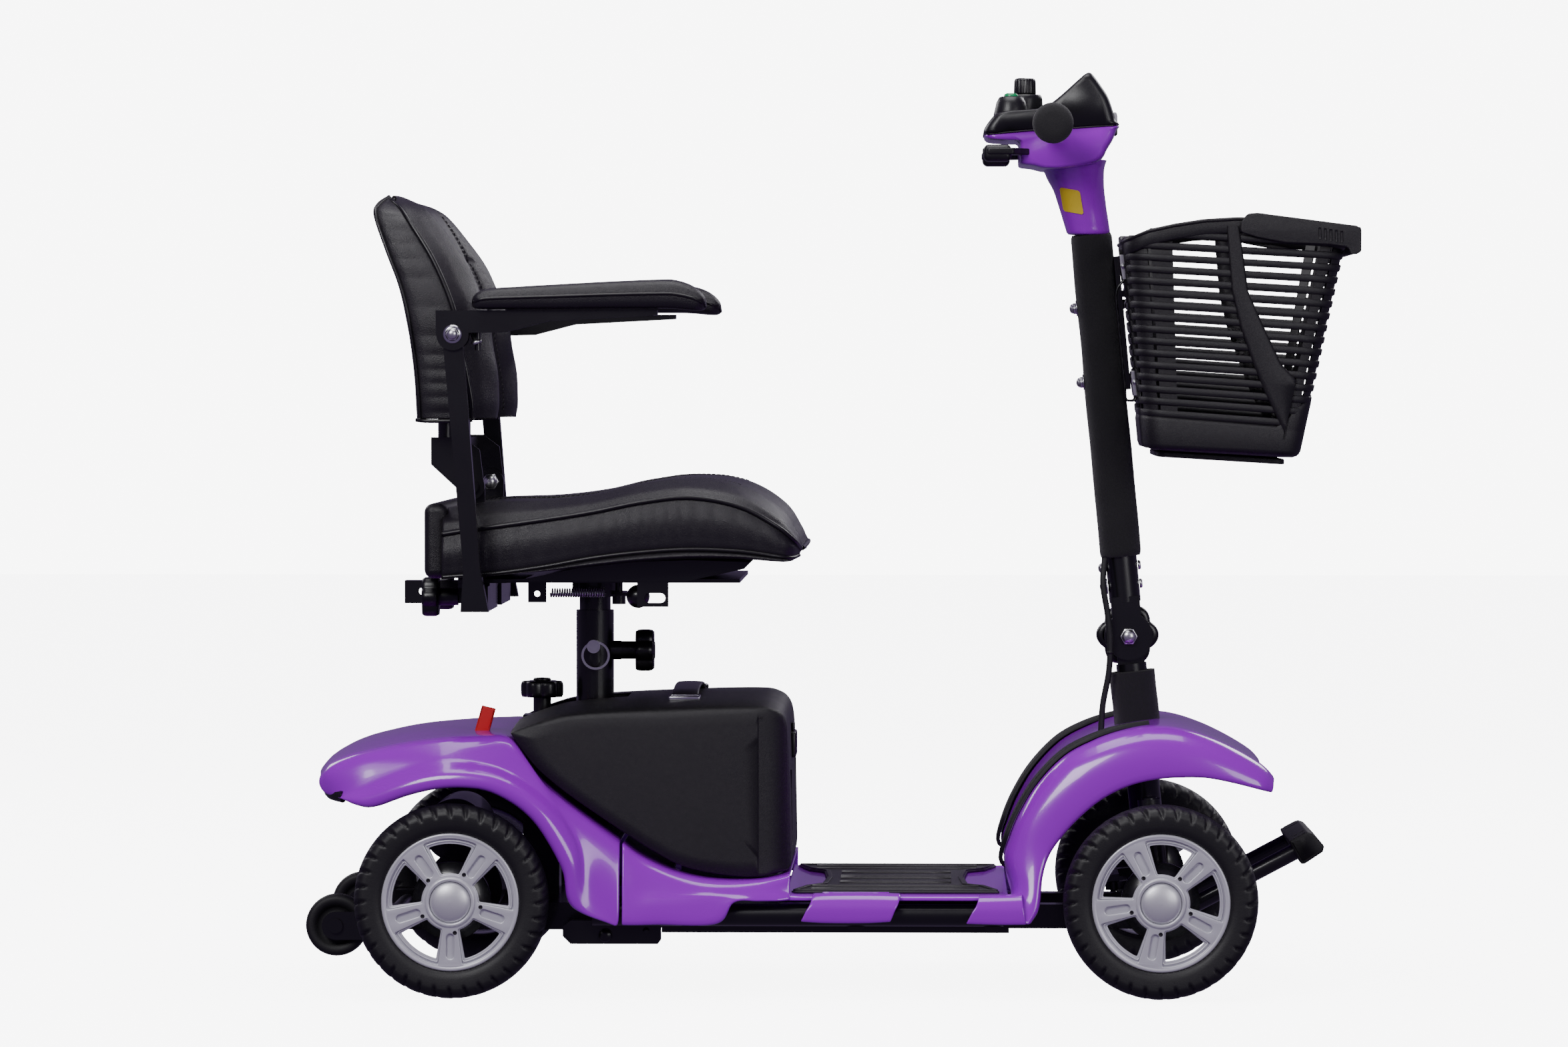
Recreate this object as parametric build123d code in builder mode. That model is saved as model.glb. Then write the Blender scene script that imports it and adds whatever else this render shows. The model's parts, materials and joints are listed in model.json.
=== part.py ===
from build123d import *
import math
import os

# Four-wheel travel mobility scooter, modelled at its real size in millimetres.
# +X is forward, +Y is the rider's left, +Z is up. The origin lies on the floor,
# at the middle of the scooter's length and width.

os.makedirs("parts", exist_ok=True)

# ---------------------------------------------------------------- driving sizes
WHEEL_R = 100.0          # tyre outer radius, an 8 inch wheel
TYRE_W = 50.0
RIM_R = 70.4
TRACK_Y = 215.0          # wheel centre plane from the middle
REAR_X = -393.0          # rear axle
FRONT_X = 331.0          # front axle
KING_Y = 168.0           # kingpin axis from the middle
STEER_DEG = 5.8          # steering axis leans back
TILLER_DEG = 5.4         # tiller tube leans back
HINGE = (304.2, 0.0, 362.9)
ARM_R = 45.0             # steering arm length
POST_X = -257.0          # seat post axis
POST_R = 19.8            # outer post radius
INNER_R = 16.5           # inner post radius
SEAT_Z = 423.0           # underside of the seat base plate
BACK_PIVOT = (-377.0, 522.6)   # X, Z
ARM_PIVOT = (-389.0, 678.5)    # X, Z
ARM_Y = 236.0            # armrest post centre plane
RECEIVER_X = -371.0
RECEIVER_Z = 407.0
BAR_X, BAR_Z = 220.8, 893.6    # handlebar axis
DECK_Z = 106.0

SA = math.radians(STEER_DEG)
TA = math.radians(TILLER_DEG)
UP = Vector(0, 0, 1)


def save(piece, name):
    piece.label = name
    export_step(piece, f"parts/{name}.step")


def steer_plane(x, y, z, lift=0.0):
    """A plane square to the steering axis, lifted along it."""
    return Plane(
        origin=(x - lift * math.sin(SA), y, z + lift * math.cos(SA)),
        x_dir=(math.cos(SA), 0, math.sin(SA)),
        z_dir=(-math.sin(SA), 0, math.cos(SA)),
    )


def tiller_plane(lift=0.0):
    """A plane square to the tiller tube, lifted along it from the fold hinge."""
    return Plane(
        origin=(HINGE[0] - lift * math.sin(TA), 0, HINGE[2] + lift * math.cos(TA)),
        x_dir=(math.cos(TA), 0, math.sin(TA)),
        z_dir=(-math.sin(TA), 0, math.cos(TA)),
    )


def tiller_side(y=0.0):
    """The tiller's side plane: x is forward of the tube, y runs up the tube, and it faces -Y."""
    return Plane(
        origin=(HINGE[0], y, HINGE[2]),
        x_dir=(math.cos(TA), 0, math.sin(TA)),
        z_dir=(0, -1, 0),
    )


def side(y=0.0):
    """The XZ plane at a given Y. It faces -Y."""
    return Plane(origin=(0, y, 0), x_dir=(1, 0, 0), z_dir=(0, -1, 0))


def across(x=0.0):
    """The YZ plane at a given X. It faces +X."""
    return Plane(origin=(x, 0, 0), x_dir=(0, 1, 0), z_dir=(1, 0, 0))


# ---------------------------------------------------------------- wheels
def tyre_at(x, y, z, name):
    with BuildPart() as tyre:
        with BuildSketch(Plane(origin=(x, y, z), x_dir=(1, 0, 0), z_dir=(0, 0, 1))):
            with BuildLine():
                Polyline((70.5, -20), (79, -24.4), (89, -TYRE_W / 2), (96, -21))
                ThreePointArc((96, -21), (WHEEL_R, 0), (96, 21))
                Polyline((96, 21), (89, TYRE_W / 2), (79, 24.4), (70.5, 20), (70.5, -20))
            make_face()
        revolve(axis=Axis((x, y, z), (0, 1, 0)))
    save(tyre.part, name)


def rim_at(x, y, z, name, bore, hub_in):
    """A five-spoke moulded wheel with its hub cap as a second solid. The spokes face outboard."""
    out = -1 if y < 0 else 1
    face = Plane(origin=(x, y, z), x_dir=(1, 0, 0), z_dir=(0, out, 0))
    with BuildPart() as rim:
        with BuildSketch(face.offset(-21)):
            Circle(RIM_R)
            Circle(63, mode=Mode.SUBTRACT)
        extrude(amount=42)
        with BuildSketch(face.offset(12)):
            Circle(64)
        extrude(amount=8)
        with BuildSketch(face.offset(-hub_in)):
            Circle(17)
        extrude(amount=hub_in + 13)
        with BuildSketch(face.offset(19)):
            Circle(26)
        extrude(amount=3)
        # five windows between the spokes
        with BuildSketch(face.offset(10)):
            with PolarLocations(0, 5, start_angle=90):
                with BuildLine():
                    a, b = math.radians(21.5), math.radians(19)
                    p1 = (29 * math.cos(b), -29 * math.sin(b))
                    p2 = (60 * math.cos(a), -60 * math.sin(a))
                    p3 = (60 * math.cos(a), 60 * math.sin(a))
                    p4 = (29 * math.cos(b), 29 * math.sin(b))
                    Line(p1, p2)
                    ThreePointArc(p2, (60, 0), p3)
                    Line(p3, p4)
                    ThreePointArc(p4, (29, 0), p1)
                make_face()
        extrude(amount=14, mode=Mode.SUBTRACT)
        # shallow pockets along the spokes
        with BuildSketch(face.offset(18.8)):
            with PolarLocations(46, 5, start_angle=126):
                SlotOverall(23, 8)
        extrude(amount=4, mode=Mode.SUBTRACT)
        # recess for the hub cap, and the axle bore
        with BuildSketch(face.offset(18)):
            Circle(21.4)
        extrude(amount=10, mode=Mode.SUBTRACT)
        with BuildSketch(face.offset(-hub_in - 1)):
            Circle(bore)
        extrude(amount=60, mode=Mode.SUBTRACT)
    with BuildPart() as cap:
        with BuildSketch(face.offset(18)):
            Circle(21)
        extrude(amount=6.4)
        fillet(cap.edges().filter_by(GeomType.CIRCLE).sort_by(Axis.Y)[-1 if out > 0 else 0], 4)
    save(Compound(children=[rim.part.solid(), cap.part.solid()]), name)


for tag, wx, wy, bore, hub_in in (
    ("rear_right", REAR_X, -TRACK_Y, 8.05, 26),
    ("rear_left", REAR_X, TRACK_Y, 8.05, 26),
    ("front_right", FRONT_X, -TRACK_Y, 7.55, 22),
    ("front_left", FRONT_X, TRACK_Y, 7.55, 22),
):
    tyre_at(wx, wy, WHEEL_R, f"tyre_{tag}")
    rim_at(wx, wy, WHEEL_R, f"rim_{tag}", bore, hub_in)

# ---------------------------------------------------------------- rear frame
with BuildPart() as rear_frame:
    # anti-tip arms: a fork plate each side of each small wheel
    with BuildSketch(side(0)):
        with Locations((-516, 70)):
            Circle(14.5)
        with Locations((-484, 70)):
            Rectangle(64, 29)
    extrude(amount=167, both=True)
    with BuildSketch(side(0)):
        with Locations((-500, 70)):
            Rectangle(110, 40)
    extrude(amount=163, both=True, mode=Mode.SUBTRACT)
    with BuildSketch(side(0)):
        with Locations((-516, 70)):
            Circle(14.5)
        with Locations((-484, 70)):
            Rectangle(64, 29)
    extrude(amount=135, both=True)
    with BuildSketch(side(0)):
        with Locations((-500, 70)):
            Rectangle(110, 40)
    extrude(amount=131, both=True, mode=Mode.SUBTRACT)
    with BuildSketch(side(167)):
        with Locations((-462, 72)):
            Circle(11)
    extrude(amount=334)
    # two square rails under the drive, and cross tubes
    with BuildSketch(across(-200)):
        with Locations((-100, 74.5), (100, 74.5)):
            Rectangle(25, 25)
    extrude(amount=-275)
    with BuildSketch(side(165)):
        with Locations((-212, 74)):
            Circle(11)
    extrude(amount=330)
    # lock plates outside the rails, where the two halves of the frame latch
    with BuildSketch(side(168)):
        with BuildLine():
            Polyline((-282, 60), (-274, 52), (-184, 52), (-181, 56), (-181, 73), (-186, 76), (-274, 76), (-282, 70), (-282, 60))
        make_face()
    extrude(amount=16)
    with BuildSketch(side(-152)):
        with BuildLine():
            Polyline((-282, 60), (-274, 52), (-184, 52), (-181, 56), (-181, 73), (-186, 76), (-274, 76), (-282, 70), (-282, 60))
        make_face()
    extrude(amount=16)
    # seat post socket standing on a cross plate
    with BuildSketch(Plane.XY.offset(84)):
        with Locations((POST_X - 26, 0)):
            Rectangle(108, 225)
    extrude(amount=6)
    with BuildSketch(Plane.XY.offset(88)):
        with Locations((POST_X, 0)):
            Circle(POST_R)
    extrude(amount=302)
    # boss for the clamp knob on the front of the post
    with BuildSketch(across(POST_X + 10)):
        with Locations((0, 347.5)):
            Circle(10)
    extrude(amount=17.5)
    # lock tower behind the post
    with BuildSketch(Plane.XY.offset(88)):
        with Locations((-313, 0)):
            Rectangle(38, 40)
    extrude(amount=192)
    # bores: post, clamp screw, locking pin, tower stud, small wheel bolts
    with BuildSketch(Plane.XY.offset(92)):
        with Locations((POST_X, 0)):
            Circle(INNER_R + 0.1)
    extrude(amount=320, mode=Mode.SUBTRACT)
    with BuildSketch(across(POST_X + 5)):
        with Locations((0, 347.5)):
            Circle(3.05)
    extrude(amount=40, mode=Mode.SUBTRACT)
    with BuildSketch(side(40)):
        with Locations((POST_X, 352.5)):
            Circle(4.05)
    extrude(amount=80, mode=Mode.SUBTRACT)
    with BuildSketch(Plane.XY.offset(240)):
        with Locations((-313, 0)):
            Circle(4.05)
    extrude(amount=60, mode=Mode.SUBTRACT)
    with BuildSketch(side(0)):
        with Locations((-516, 70)):
            Circle(5.05)
    extrude(amount=170, both=True, mode=Mode.SUBTRACT)
with BuildPart() as small_bolts:
    for y in (-149, 149):
        with BuildSketch(side(y + 19)):
            with Locations((-516, 70)):
                Circle(5)
        extrude(amount=38)
        with BuildSketch(side(y - 18.5)):
            with Locations((-516, 70)):
                Circle(7.5)
        extrude(amount=3)
        with BuildSketch(side(y + 21.5)):
            with Locations((-516, 70)):
                Circle(7.5)
        extrude(amount=3)
save(Compound(children=[rear_frame.part.solid()] + list(small_bolts.part.solids())), "rear_frame")

# small rear wheels that stop the scooter tipping back
for tag, y in (("right", -149), ("left", 149)):
    with BuildPart() as small_wheel:
        with BuildSketch(side(y + 12.5)):
            with Locations((-516, 70)):
                Circle(32)
        extrude(amount=25)
        fillet(small_wheel.edges().filter_by(GeomType.CIRCLE), 3)
        with BuildSketch(side(y + 14)):
            with Locations((-516, 70)):
                Circle(5.15)
        extrude(amount=28, mode=Mode.SUBTRACT)
    save(small_wheel.part, f"anti_tip_wheel_{tag}")

# ---------------------------------------------------------------- front frame
with BuildPart() as front_frame:
    # inner rails, side tubes and the lower docking rails
    with BuildSketch(across(-185)):
        with Locations((-75, 74.5), (75, 74.5)):
            Rectangle(25, 25)
    extrude(amount=545)
    with BuildSketch(across(-250)):
        with Locations((-190, 84), (190, 84)):
            Circle(11.5)
    extrude(amount=421)
    with BuildSketch(across(-180)):
        with Locations((-160, 72), (160, 72)):
            Rectangle(16, 16)
    extrude(amount=357)
    # cross tubes
    with BuildSketch(side(190)):
        with Locations((-150, 76), (20, 76), (160, 76)):
            Circle(10)
    extrude(amount=380)
    # uprights to the axle beam
    with BuildSketch(side(81)):
        with Locations((328, 110)):
            Rectangle(30, 96)
    extrude(amount=12)
    with BuildSketch(side(-69)):
        with Locations((328, 110)):
            Rectangle(30, 96)
    extrude(amount=12)
    # axle beam
    with BuildSketch(
        Plane(origin=(FRONT_X - 60 * math.sin(SA), 164, 100 + 60 * math.cos(SA)), x_dir=(1, 0, 0), z_dir=(0, -1, 0))
    ):
        Circle(13)
    extrude(amount=328)
    # kingpin housings
    for y in (-KING_Y, KING_Y):
        with BuildSketch(steer_plane(FRONT_X, y, 100, 24)):
            Circle(11.5)
        extrude(amount=70)
    # head tube
    with BuildSketch(steer_plane(FRONT_X, 0, 100, 34)):
        Circle(17)
    extrude(amount=98)
    # bumper: two legs and a cross tube
    with BuildSketch(
        Plane(origin=(352, 0, 76), x_dir=(0, 1, 0), z_dir=(math.cos(math.radians(28)), 0, math.sin(math.radians(28))))
    ):
        with Locations((-75, 0), (75, 0)):
            Circle(8.5)
    extrude(amount=158)
    with BuildSketch(side(84)):
        with Locations((352 + 158 * math.cos(math.radians(28)), 76 + 158 * math.sin(math.radians(28)))):
            Circle(8.5)
    extrude(amount=168)
    # bores
    for y in (-KING_Y, KING_Y):
        with BuildSketch(steer_plane(FRONT_X, y, 100, 10)):
            Circle(8.05)
        extrude(amount=120, mode=Mode.SUBTRACT)
    with BuildSketch(steer_plane(FRONT_X, 0, 100, 10)):
        Circle(10.05)
    extrude(amount=130, mode=Mode.SUBTRACT)
save(front_frame.part, "front_frame")

# rubber pad pushed over the bumper's cross tube
with BuildPart() as bumper_pad:
    b = math.radians(28)
    cx, cz = 352 + 158 * math.cos(b), 76 + 158 * math.sin(b)
    pad_plane = Plane(origin=(cx, 0, cz), x_dir=(math.cos(b), 0, math.sin(b)), z_dir=(0, -1, 0))
    with BuildSketch(pad_plane):
        with Locations((-1, 0)):
            Rectangle(29, 26)
    extrude(amount=92, both=True)
    fillet(bumper_pad.edges().filter_by(Axis.Y), 6)
    # the hollow that takes the tube, and the slots that take the legs
    with BuildSketch(pad_plane):
        Circle(8.6)
    extrude(amount=84.2, both=True, mode=Mode.SUBTRACT)
    with BuildSketch(Plane(origin=(352, 0, 76), x_dir=(0, 1, 0), z_dir=(math.cos(b), 0, math.sin(b)))):
        with Locations((-75, 0), (75, 0)):
            Circle(8.6)
    extrude(amount=158, mode=Mode.SUBTRACT)
    with BuildSketch(pad_plane):
        with Locations((-15, 0)):
            Rectangle(12, 17.2)
    extrude(amount=83.7, both=True, mode=Mode.SUBTRACT)
save(bumper_pad.part, "bumper_pad")

# ---------------------------------------------------------------- steering below the deck line
for tag, y in (("right", -KING_Y), ("left", KING_Y)):
    out = -1 if y < 0 else 1
    with BuildPart() as knuckle:
        with BuildSketch(steer_plane(FRONT_X, y, 100, -15)):
            Circle(13.5)
        extrude(amount=38.4)
        with BuildSketch(steer_plane(FRONT_X, y, 100, 20)):
            Circle(8)
        extrude(amount=84)
        with BuildSketch(steer_plane(FRONT_X, y, 100, 94.6)):
            Circle(12)
        extrude(amount=8)
        # steering arm behind the kingpin
        with BuildSketch(steer_plane(FRONT_X, y, 100, 14)):
            with Locations((-ARM_R / 2, 0)):
                Rectangle(ARM_R, 15)
            with Locations((-ARM_R, 0)):
                Circle(8.5)
        extrude(amount=8)
        with BuildSketch(steer_plane(FRONT_X, y, 100, 12)):
            with Locations((-ARM_R, 0)):
                Circle(4.2)
        extrude(amount=12, mode=Mode.SUBTRACT)
        # stub axle
        with BuildSketch(Plane(origin=(FRONT_X, y, 100), x_dir=(1, 0, 0), z_dir=(0, out, 0))):
            Circle(7.5)
        extrude(amount=64)
    save(knuckle.part, f"knuckle_{tag}")

with BuildPart() as tie_rod:
    with BuildSketch(steer_plane(FRONT_X, 0, 100, 22.6)):
        with Locations((-ARM_R, 0)):
            Rectangle(13, 2 * KING_Y + 13)
    extrude(amount=7)
    with BuildSketch(steer_plane(FRONT_X, 0, 100, 12)):
        with Locations((-ARM_R, -KING_Y), (-ARM_R, 0), (-ARM_R, KING_Y)):
            Circle(4)
    extrude(amount=12)
save(tie_rod.part, "tie_rod")

# steering stem: pitman arm, shaft, bearing collar, column and the fold eye
STEM_TOP = math.hypot(HINGE[0] - FRONT_X, HINGE[2] - 100)
with BuildPart() as stem:
    with BuildSketch(steer_plane(FRONT_X, 0, 100, 14)):
        Circle(13)
        with Locations((-ARM_R / 2, 0)):
            Rectangle(ARM_R, 15)
        with Locations((-ARM_R, 0)):
            Circle(8.5)
    extrude(amount=8)
    with BuildSketch(steer_plane(FRONT_X, 0, 100, 16)):
        Circle(10)
    extrude(amount=130)
    with BuildSketch(steer_plane(FRONT_X, 0, 100, 132.5)):
        Circle(18)
    extrude(amount=9)
    with BuildSketch(steer_plane(FRONT_X, 0, 100, 140)):
        Circle(16)
    extrude(amount=STEM_TOP - 140 - 29)
    with BuildSketch(side(10)):
        with Locations((HINGE[0], HINGE[2])):
            Circle(25)
    extrude(amount=20)
    with BuildSketch(steer_plane(FRONT_X, 0, 100, STEM_TOP - 29.6)):
        Rectangle(28, 20)
    extrude(amount=24)
    with BuildSketch(steer_plane(FRONT_X, 0, 100, 12)):
        with Locations((-ARM_R, 0)):
            Circle(4.2)
    extrude(amount=12, mode=Mode.SUBTRACT)
    with BuildSketch(side(20)):
        with Locations((HINGE[0], HINGE[2])):
            Circle(6.1)
    extrude(amount=40, mode=Mode.SUBTRACT)
save(stem.part, "steering_stem")

with BuildPart() as stem_foam:
    with BuildSketch(steer_plane(FRONT_X, 0, 100, 169)):
        Circle(20.5)
        Circle(16.35, mode=Mode.SUBTRACT)
    extrude(amount=STEM_TOP - 29 - 169 - 1.5)
save(stem_foam.part, "stem_foam")

# ---------------------------------------------------------------- tiller
with BuildPart() as tiller_tube:
    # fork plates either side of the fold eye
    with BuildSketch(side(0)):
        with Locations((HINGE[0], HINGE[2])):
            Circle(25)
    extrude(amount=16, both=True)
    with BuildSketch(tiller_plane(0)):
        Rectangle(30, 32)
    extrude(amount=42)
    with BuildSketch(side(0)):
        with Locations((HINGE[0], HINGE[2])):
            Circle(30.5)
    extrude(amount=10.4, both=True, mode=Mode.SUBTRACT)
    with BuildSketch(tiller_plane(36)):
        Circle(16.5)
    extrude(amount=505)
    with BuildSketch(tiller_plane(48)):
        Circle(13.5)
    extrude(amount=494, mode=Mode.SUBTRACT)
    # head block that carries the handlebar behind the tube
    with BuildSketch(tiller_side(14)):
        with Locations((-16, 530)):
            Rectangle(40, 26)
    extrude(amount=28)
    with BuildSketch(side(205)):
        with Locations((BAR_X, BAR_Z)):
            Circle(11)
    extrude(amount=410)
    # bores for the fold bolt and the through bolts
    with BuildSketch(side(20)):
        with Locations((HINGE[0], HINGE[2])):
            Circle(6.1)
    extrude(amount=40, mode=Mode.SUBTRACT)
    with BuildSketch(Plane(origin=tiller_plane().origin, x_dir=(0, 1, 0), z_dir=tiller_plane().x_dir)):
        with Locations((0, 54), (0, 73.4), (0, 269.8), (0, 347.6)):
            Circle(3.15)
    extrude(amount=30, both=True, mode=Mode.SUBTRACT)
save(tiller_tube.part, "tiller_tube")

with BuildPart() as tiller_foam:
    with BuildSketch(tiller_plane(84)):
        Circle(20.5)
        Circle(16.9, mode=Mode.SUBTRACT)
    extrude(amount=339)
    with BuildSketch(Plane(origin=tiller_plane().origin, x_dir=(0, 1, 0), z_dir=tiller_plane().x_dir)):
        with Locations((0, 269.8), (0, 347.6)):
            Circle(3.4)
    extrude(amount=30, both=True, mode=Mode.SUBTRACT)
save(tiller_foam.part, "tiller_foam")

# through bolts with domed nuts at the back
bolts = []
bolt_plane = Plane(origin=tiller_plane().origin, x_dir=(0, 1, 0), z_dir=tiller_plane().x_dir)
for lift, back, front in ((54, -16.8, 16.8), (73.4, -16.8, 16.8), (269.8, -20.9, 26.7), (347.6, -20.9, 26.7)):
    with BuildPart() as bolt:
        with BuildSketch(bolt_plane.offset(back - 1)):
            with Locations((0, lift)):
                Circle(3)
        extrude(amount=front - back + 2)
        with BuildSketch(bolt_plane.offset(back - 6)):
            with Locations((0, lift)):
                Circle(6)
        extrude(amount=6)
        with BuildSketch(bolt_plane.offset(front)):
            with Locations((0, lift)):
                Circle(5)
        extrude(amount=3.6)
    bolts.append(bolt.part.solid())
save(Compound(children=bolts), "tiller_bolts")

# basket bracket on the front of the tiller, with an upright tongue for the basket's hook
with BuildPart() as basket_bracket:
    with BuildSketch(bolt_plane.offset(21.2)):
        with Locations((0, 328)):
            Rectangle(30, 140)
    extrude(amount=5.3)
    with BuildSketch(bolt_plane.offset(24)):
        with Locations((0, 358.5)):
            Rectangle(24, 7)
    extrude(amount=8.2)
    with BuildSketch(bolt_plane.offset(29.6)):
        with Locations((0, 376)):
            Rectangle(24, 42)
    extrude(amount=2.6)
    with BuildSketch(bolt_plane.offset(15)):
        with Locations((0, 269.8), (0, 347.6)):
            Circle(3.15)
    extrude(amount=20, mode=Mode.SUBTRACT)
save(basket_bracket.part, "basket_bracket")

# purple lower cover of the tiller head, with its neck
shroud_pts = [(247, 782), (283.5, 789), (277, 845), (291, 866), (289.5, 897), (151, 897), (160, 889), (212, 856)]
with BuildPart() as tiller_shroud:
    with BuildSketch(side(0)):
        with BuildLine():
            Polyline((151, 897), (160, 887), (212, 858), (286, 858), (291, 868), (289.5, 897), (151, 897))
        make_face()
    extrude(amount=72, both=True)
    with BuildSketch(side(0)):
        with BuildLine():
            Polyline((247, 785), (283.5, 789), (277, 846), (280, 862), (212, 862), (228, 845), (247, 785))
        make_face()
    extrude(amount=22, both=True)
    with BuildSketch(side(0)):
        with BuildLine():
            Polyline((158, 900), (166, 889), (214, 861), (282, 861), (287, 870), (286, 900), (158, 900))
        make_face()
    extrude(amount=69, both=True, mode=Mode.SUBTRACT)
    with BuildSketch(tiller_plane(418)):
        Circle(16.9)
    extrude(amount=110, mode=Mode.SUBTRACT)
    # slot the throttle lever works in
    with BuildSketch(Plane.XY.offset(855)):
        with Locations((193, 0)):
            Rectangle(80, 150)
    extrude(amount=22.5, mode=Mode.SUBTRACT)
    with BuildSketch(side(80)):
        with Locations((BAR_X, BAR_Z)):
            Circle(11.8)
    extrude(amount=160, mode=Mode.SUBTRACT)
save(tiller_shroud.part, "tiller_shroud")

# black upper cover with the visor
with BuildPart() as tiller_cover:
    with BuildSketch(side(0)):
        with BuildLine():
            Polyline((150.5, 897.4), (289.5, 897.4), (288, 926), (279, 938), (268, 956), (259, 955), (246, 938), (230, 930), (170, 929), (156, 918), (150.5, 897.4))
        make_face()
    extrude(amount=72, both=True)
    with BuildSketch(side(0)):
        with BuildLine():
            Polyline((155, 895), (286, 895), (285, 925), (276, 934), (250, 932), (231, 926.5), (171, 926), (159, 916), (155, 895))
        make_face()
    extrude(amount=69, both=True, mode=Mode.SUBTRACT)
    with BuildSketch(side(80)):
        with Locations((BAR_X, BAR_Z)):
            Circle(11.8)
    extrude(amount=160, mode=Mode.SUBTRACT)
    with BuildSketch(Plane.XY.offset(915)):
        with Locations((195, 0)):
            Circle(4.1)
        with Locations((180, -42)):
            Circle(5.1)
    extrude(amount=40, mode=Mode.SUBTRACT)
    # two raised switch towers beside the dial
    with BuildSketch(Plane.XY.offset(926)):
        with Locations((180, -42), (180, 42)):
            Circle(8.5)
    extrude(amount=9)
    with BuildSketch(Plane.XY.offset(920)):
        with Locations((180, -42)):
            Circle(5.1)
    extrude(amount=20, mode=Mode.SUBTRACT)
save(tiller_cover.part, "tiller_cover")

with BuildPart() as horn_button:
    with BuildSketch(Plane.XY.offset(922)):
        with Locations((180, -42)):
            Circle(5)
    extrude(amount=16)
save(horn_button.part, "horn_button")

with BuildPart() as speed_dial:
    with BuildSketch(Plane.XY.offset(931)):
        with Locations((195, 0)):
            Circle(11.5)
    extrude(amount=18)
    fillet(speed_dial.edges().filter_by(GeomType.CIRCLE).sort_by(Axis.Z)[-1], 3)
    with BuildSketch(Plane.XY.offset(918)):
        with Locations((195, 0)):
            Circle(4)
    extrude(amount=14)
save(speed_dial.part, "speed_dial")

# wigwag throttle lever: a cross plate with a paddle at each end
with BuildPart() as throttle:
    with BuildSketch(Plane.XY.offset(864)):
        with Locations((222, 0)):
            Circle(9)
        with Locations((200, 0)):
            Rectangle(44, 16)
        with Locations((180, 0)):
            Rectangle(16, 188)
    extrude(amount=10)
    for y in (-94, 64):
        with BuildSketch(side(y + 30)):
            with BuildLine():
                Polyline((150, 864), (156, 857), (182, 858), (187, 866), (184, 874), (158, 876), (150, 864))
            make_face()
        extrude(amount=30)
    with BuildSketch(Plane.XY.offset(860)):
        with Locations((222, 0)):
            Circle(3.1)
    extrude(amount=20, mode=Mode.SUBTRACT)
save(throttle.part, "throttle_lever")

grips = []
for y in (-1, 1):
    with BuildPart() as grip:
        with BuildSketch(Plane(origin=(BAR_X, y * 108, BAR_Z), x_dir=(1, 0, 0), z_dir=(0, y, 0))):
            Circle(17)
        extrude(amount=92)
        with BuildSketch(Plane(origin=(BAR_X, y * 198, BAR_Z), x_dir=(1, 0, 0), z_dir=(0, y, 0))):
            Circle(20.6)
        extrude(amount=17)
        with BuildSketch(Plane(origin=(BAR_X, y * 100, BAR_Z), x_dir=(1, 0, 0), z_dir=(0, y, 0))):
            Circle(11.1)
        extrude(amount=106, mode=Mode.SUBTRACT)
    grips.append(grip.part.solid())
save(Compound(children=grips), "hand_grips")

# lobed clamp knob on the left of the fold hinge, with its bolt
with BuildPart() as clamp_knob:
    with BuildSketch(side(43)):
        with Locations((HINGE[0], HINGE[2])):
            Circle(24)
            with PolarLocations(24, 6):
                Circle(9)
    extrude(amount=21)
    with BuildSketch(side(23)):
        with Locations((HINGE[0], HINGE[2])):
            Circle(11)
    extrude(amount=6.5)
    with BuildSketch(side(30)):
        with Locations((HINGE[0], HINGE[2])):
            Circle(6)
    extrude(amount=52)
    with BuildSketch(side(-16.5)):
        with Locations((HINGE[0], HINGE[2])):
            Circle(9)
    extrude(amount=5.5)
save(clamp_knob.part, "clamp_knob")

# control cable from the tiller down into the front shroud
CABLE_R = 3.1
with BuildPart() as control_cable:
    with BuildLine() as cable_path:
        FilletPolyline(
            (279, -16, 443), (277, -22.5, 412), (283, -22.5, 372), (283, -22.5, 320), (276, -20, 290), (275, -19, 246),
            radius=30,
        )
    with BuildSketch(Plane(origin=cable_path.line @ 0, z_dir=cable_path.line % 0)):
        Circle(CABLE_R)
    sweep()
save(control_cable.part, "control_cable")

# ---------------------------------------------------------------- basket
HANDLE_PIVOT = (420.5, 789.3)
RIM = [(298.3, 776.2), (321, 785.8), (347.4, 791.5), (377.6, 796.2), (411.5, 798.1), (440, 797.2), (524.5, 781)]


def along(x, table):
    """Straight-line reading from a table of (key, value) pairs with falling keys."""
    for (k0, v0), (k1, v1) in zip(table, table[1:]):
        if k0 >= x >= k1:
            return v0 + (v1 - v0) * (x - k0) / (k1 - k0)
    return table[-1][1] if x < table[-1][0] else table[0][1]


def rib_back(z):
    """X of the back edge of the curved rib in the side wall."""
    return along(z, [(800, 399), (722.7, 405.4), (685, 414.3), (647.4, 427.5), (619, 438.8), (560, 468)])


def rib_front(z):
    """X of the front edge of the curved rib in the side wall."""
    return along(z, [(800, 412), (722.7, 422.8), (685, 439.7), (647.4, 457.6), (619, 486.8), (560, 490)])


def wall_front(z):
    """X of the basket's front wall."""
    return 476.4 + (z - 558.9) * (524.5 - 476.4) / (781 - 558.9)


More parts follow.
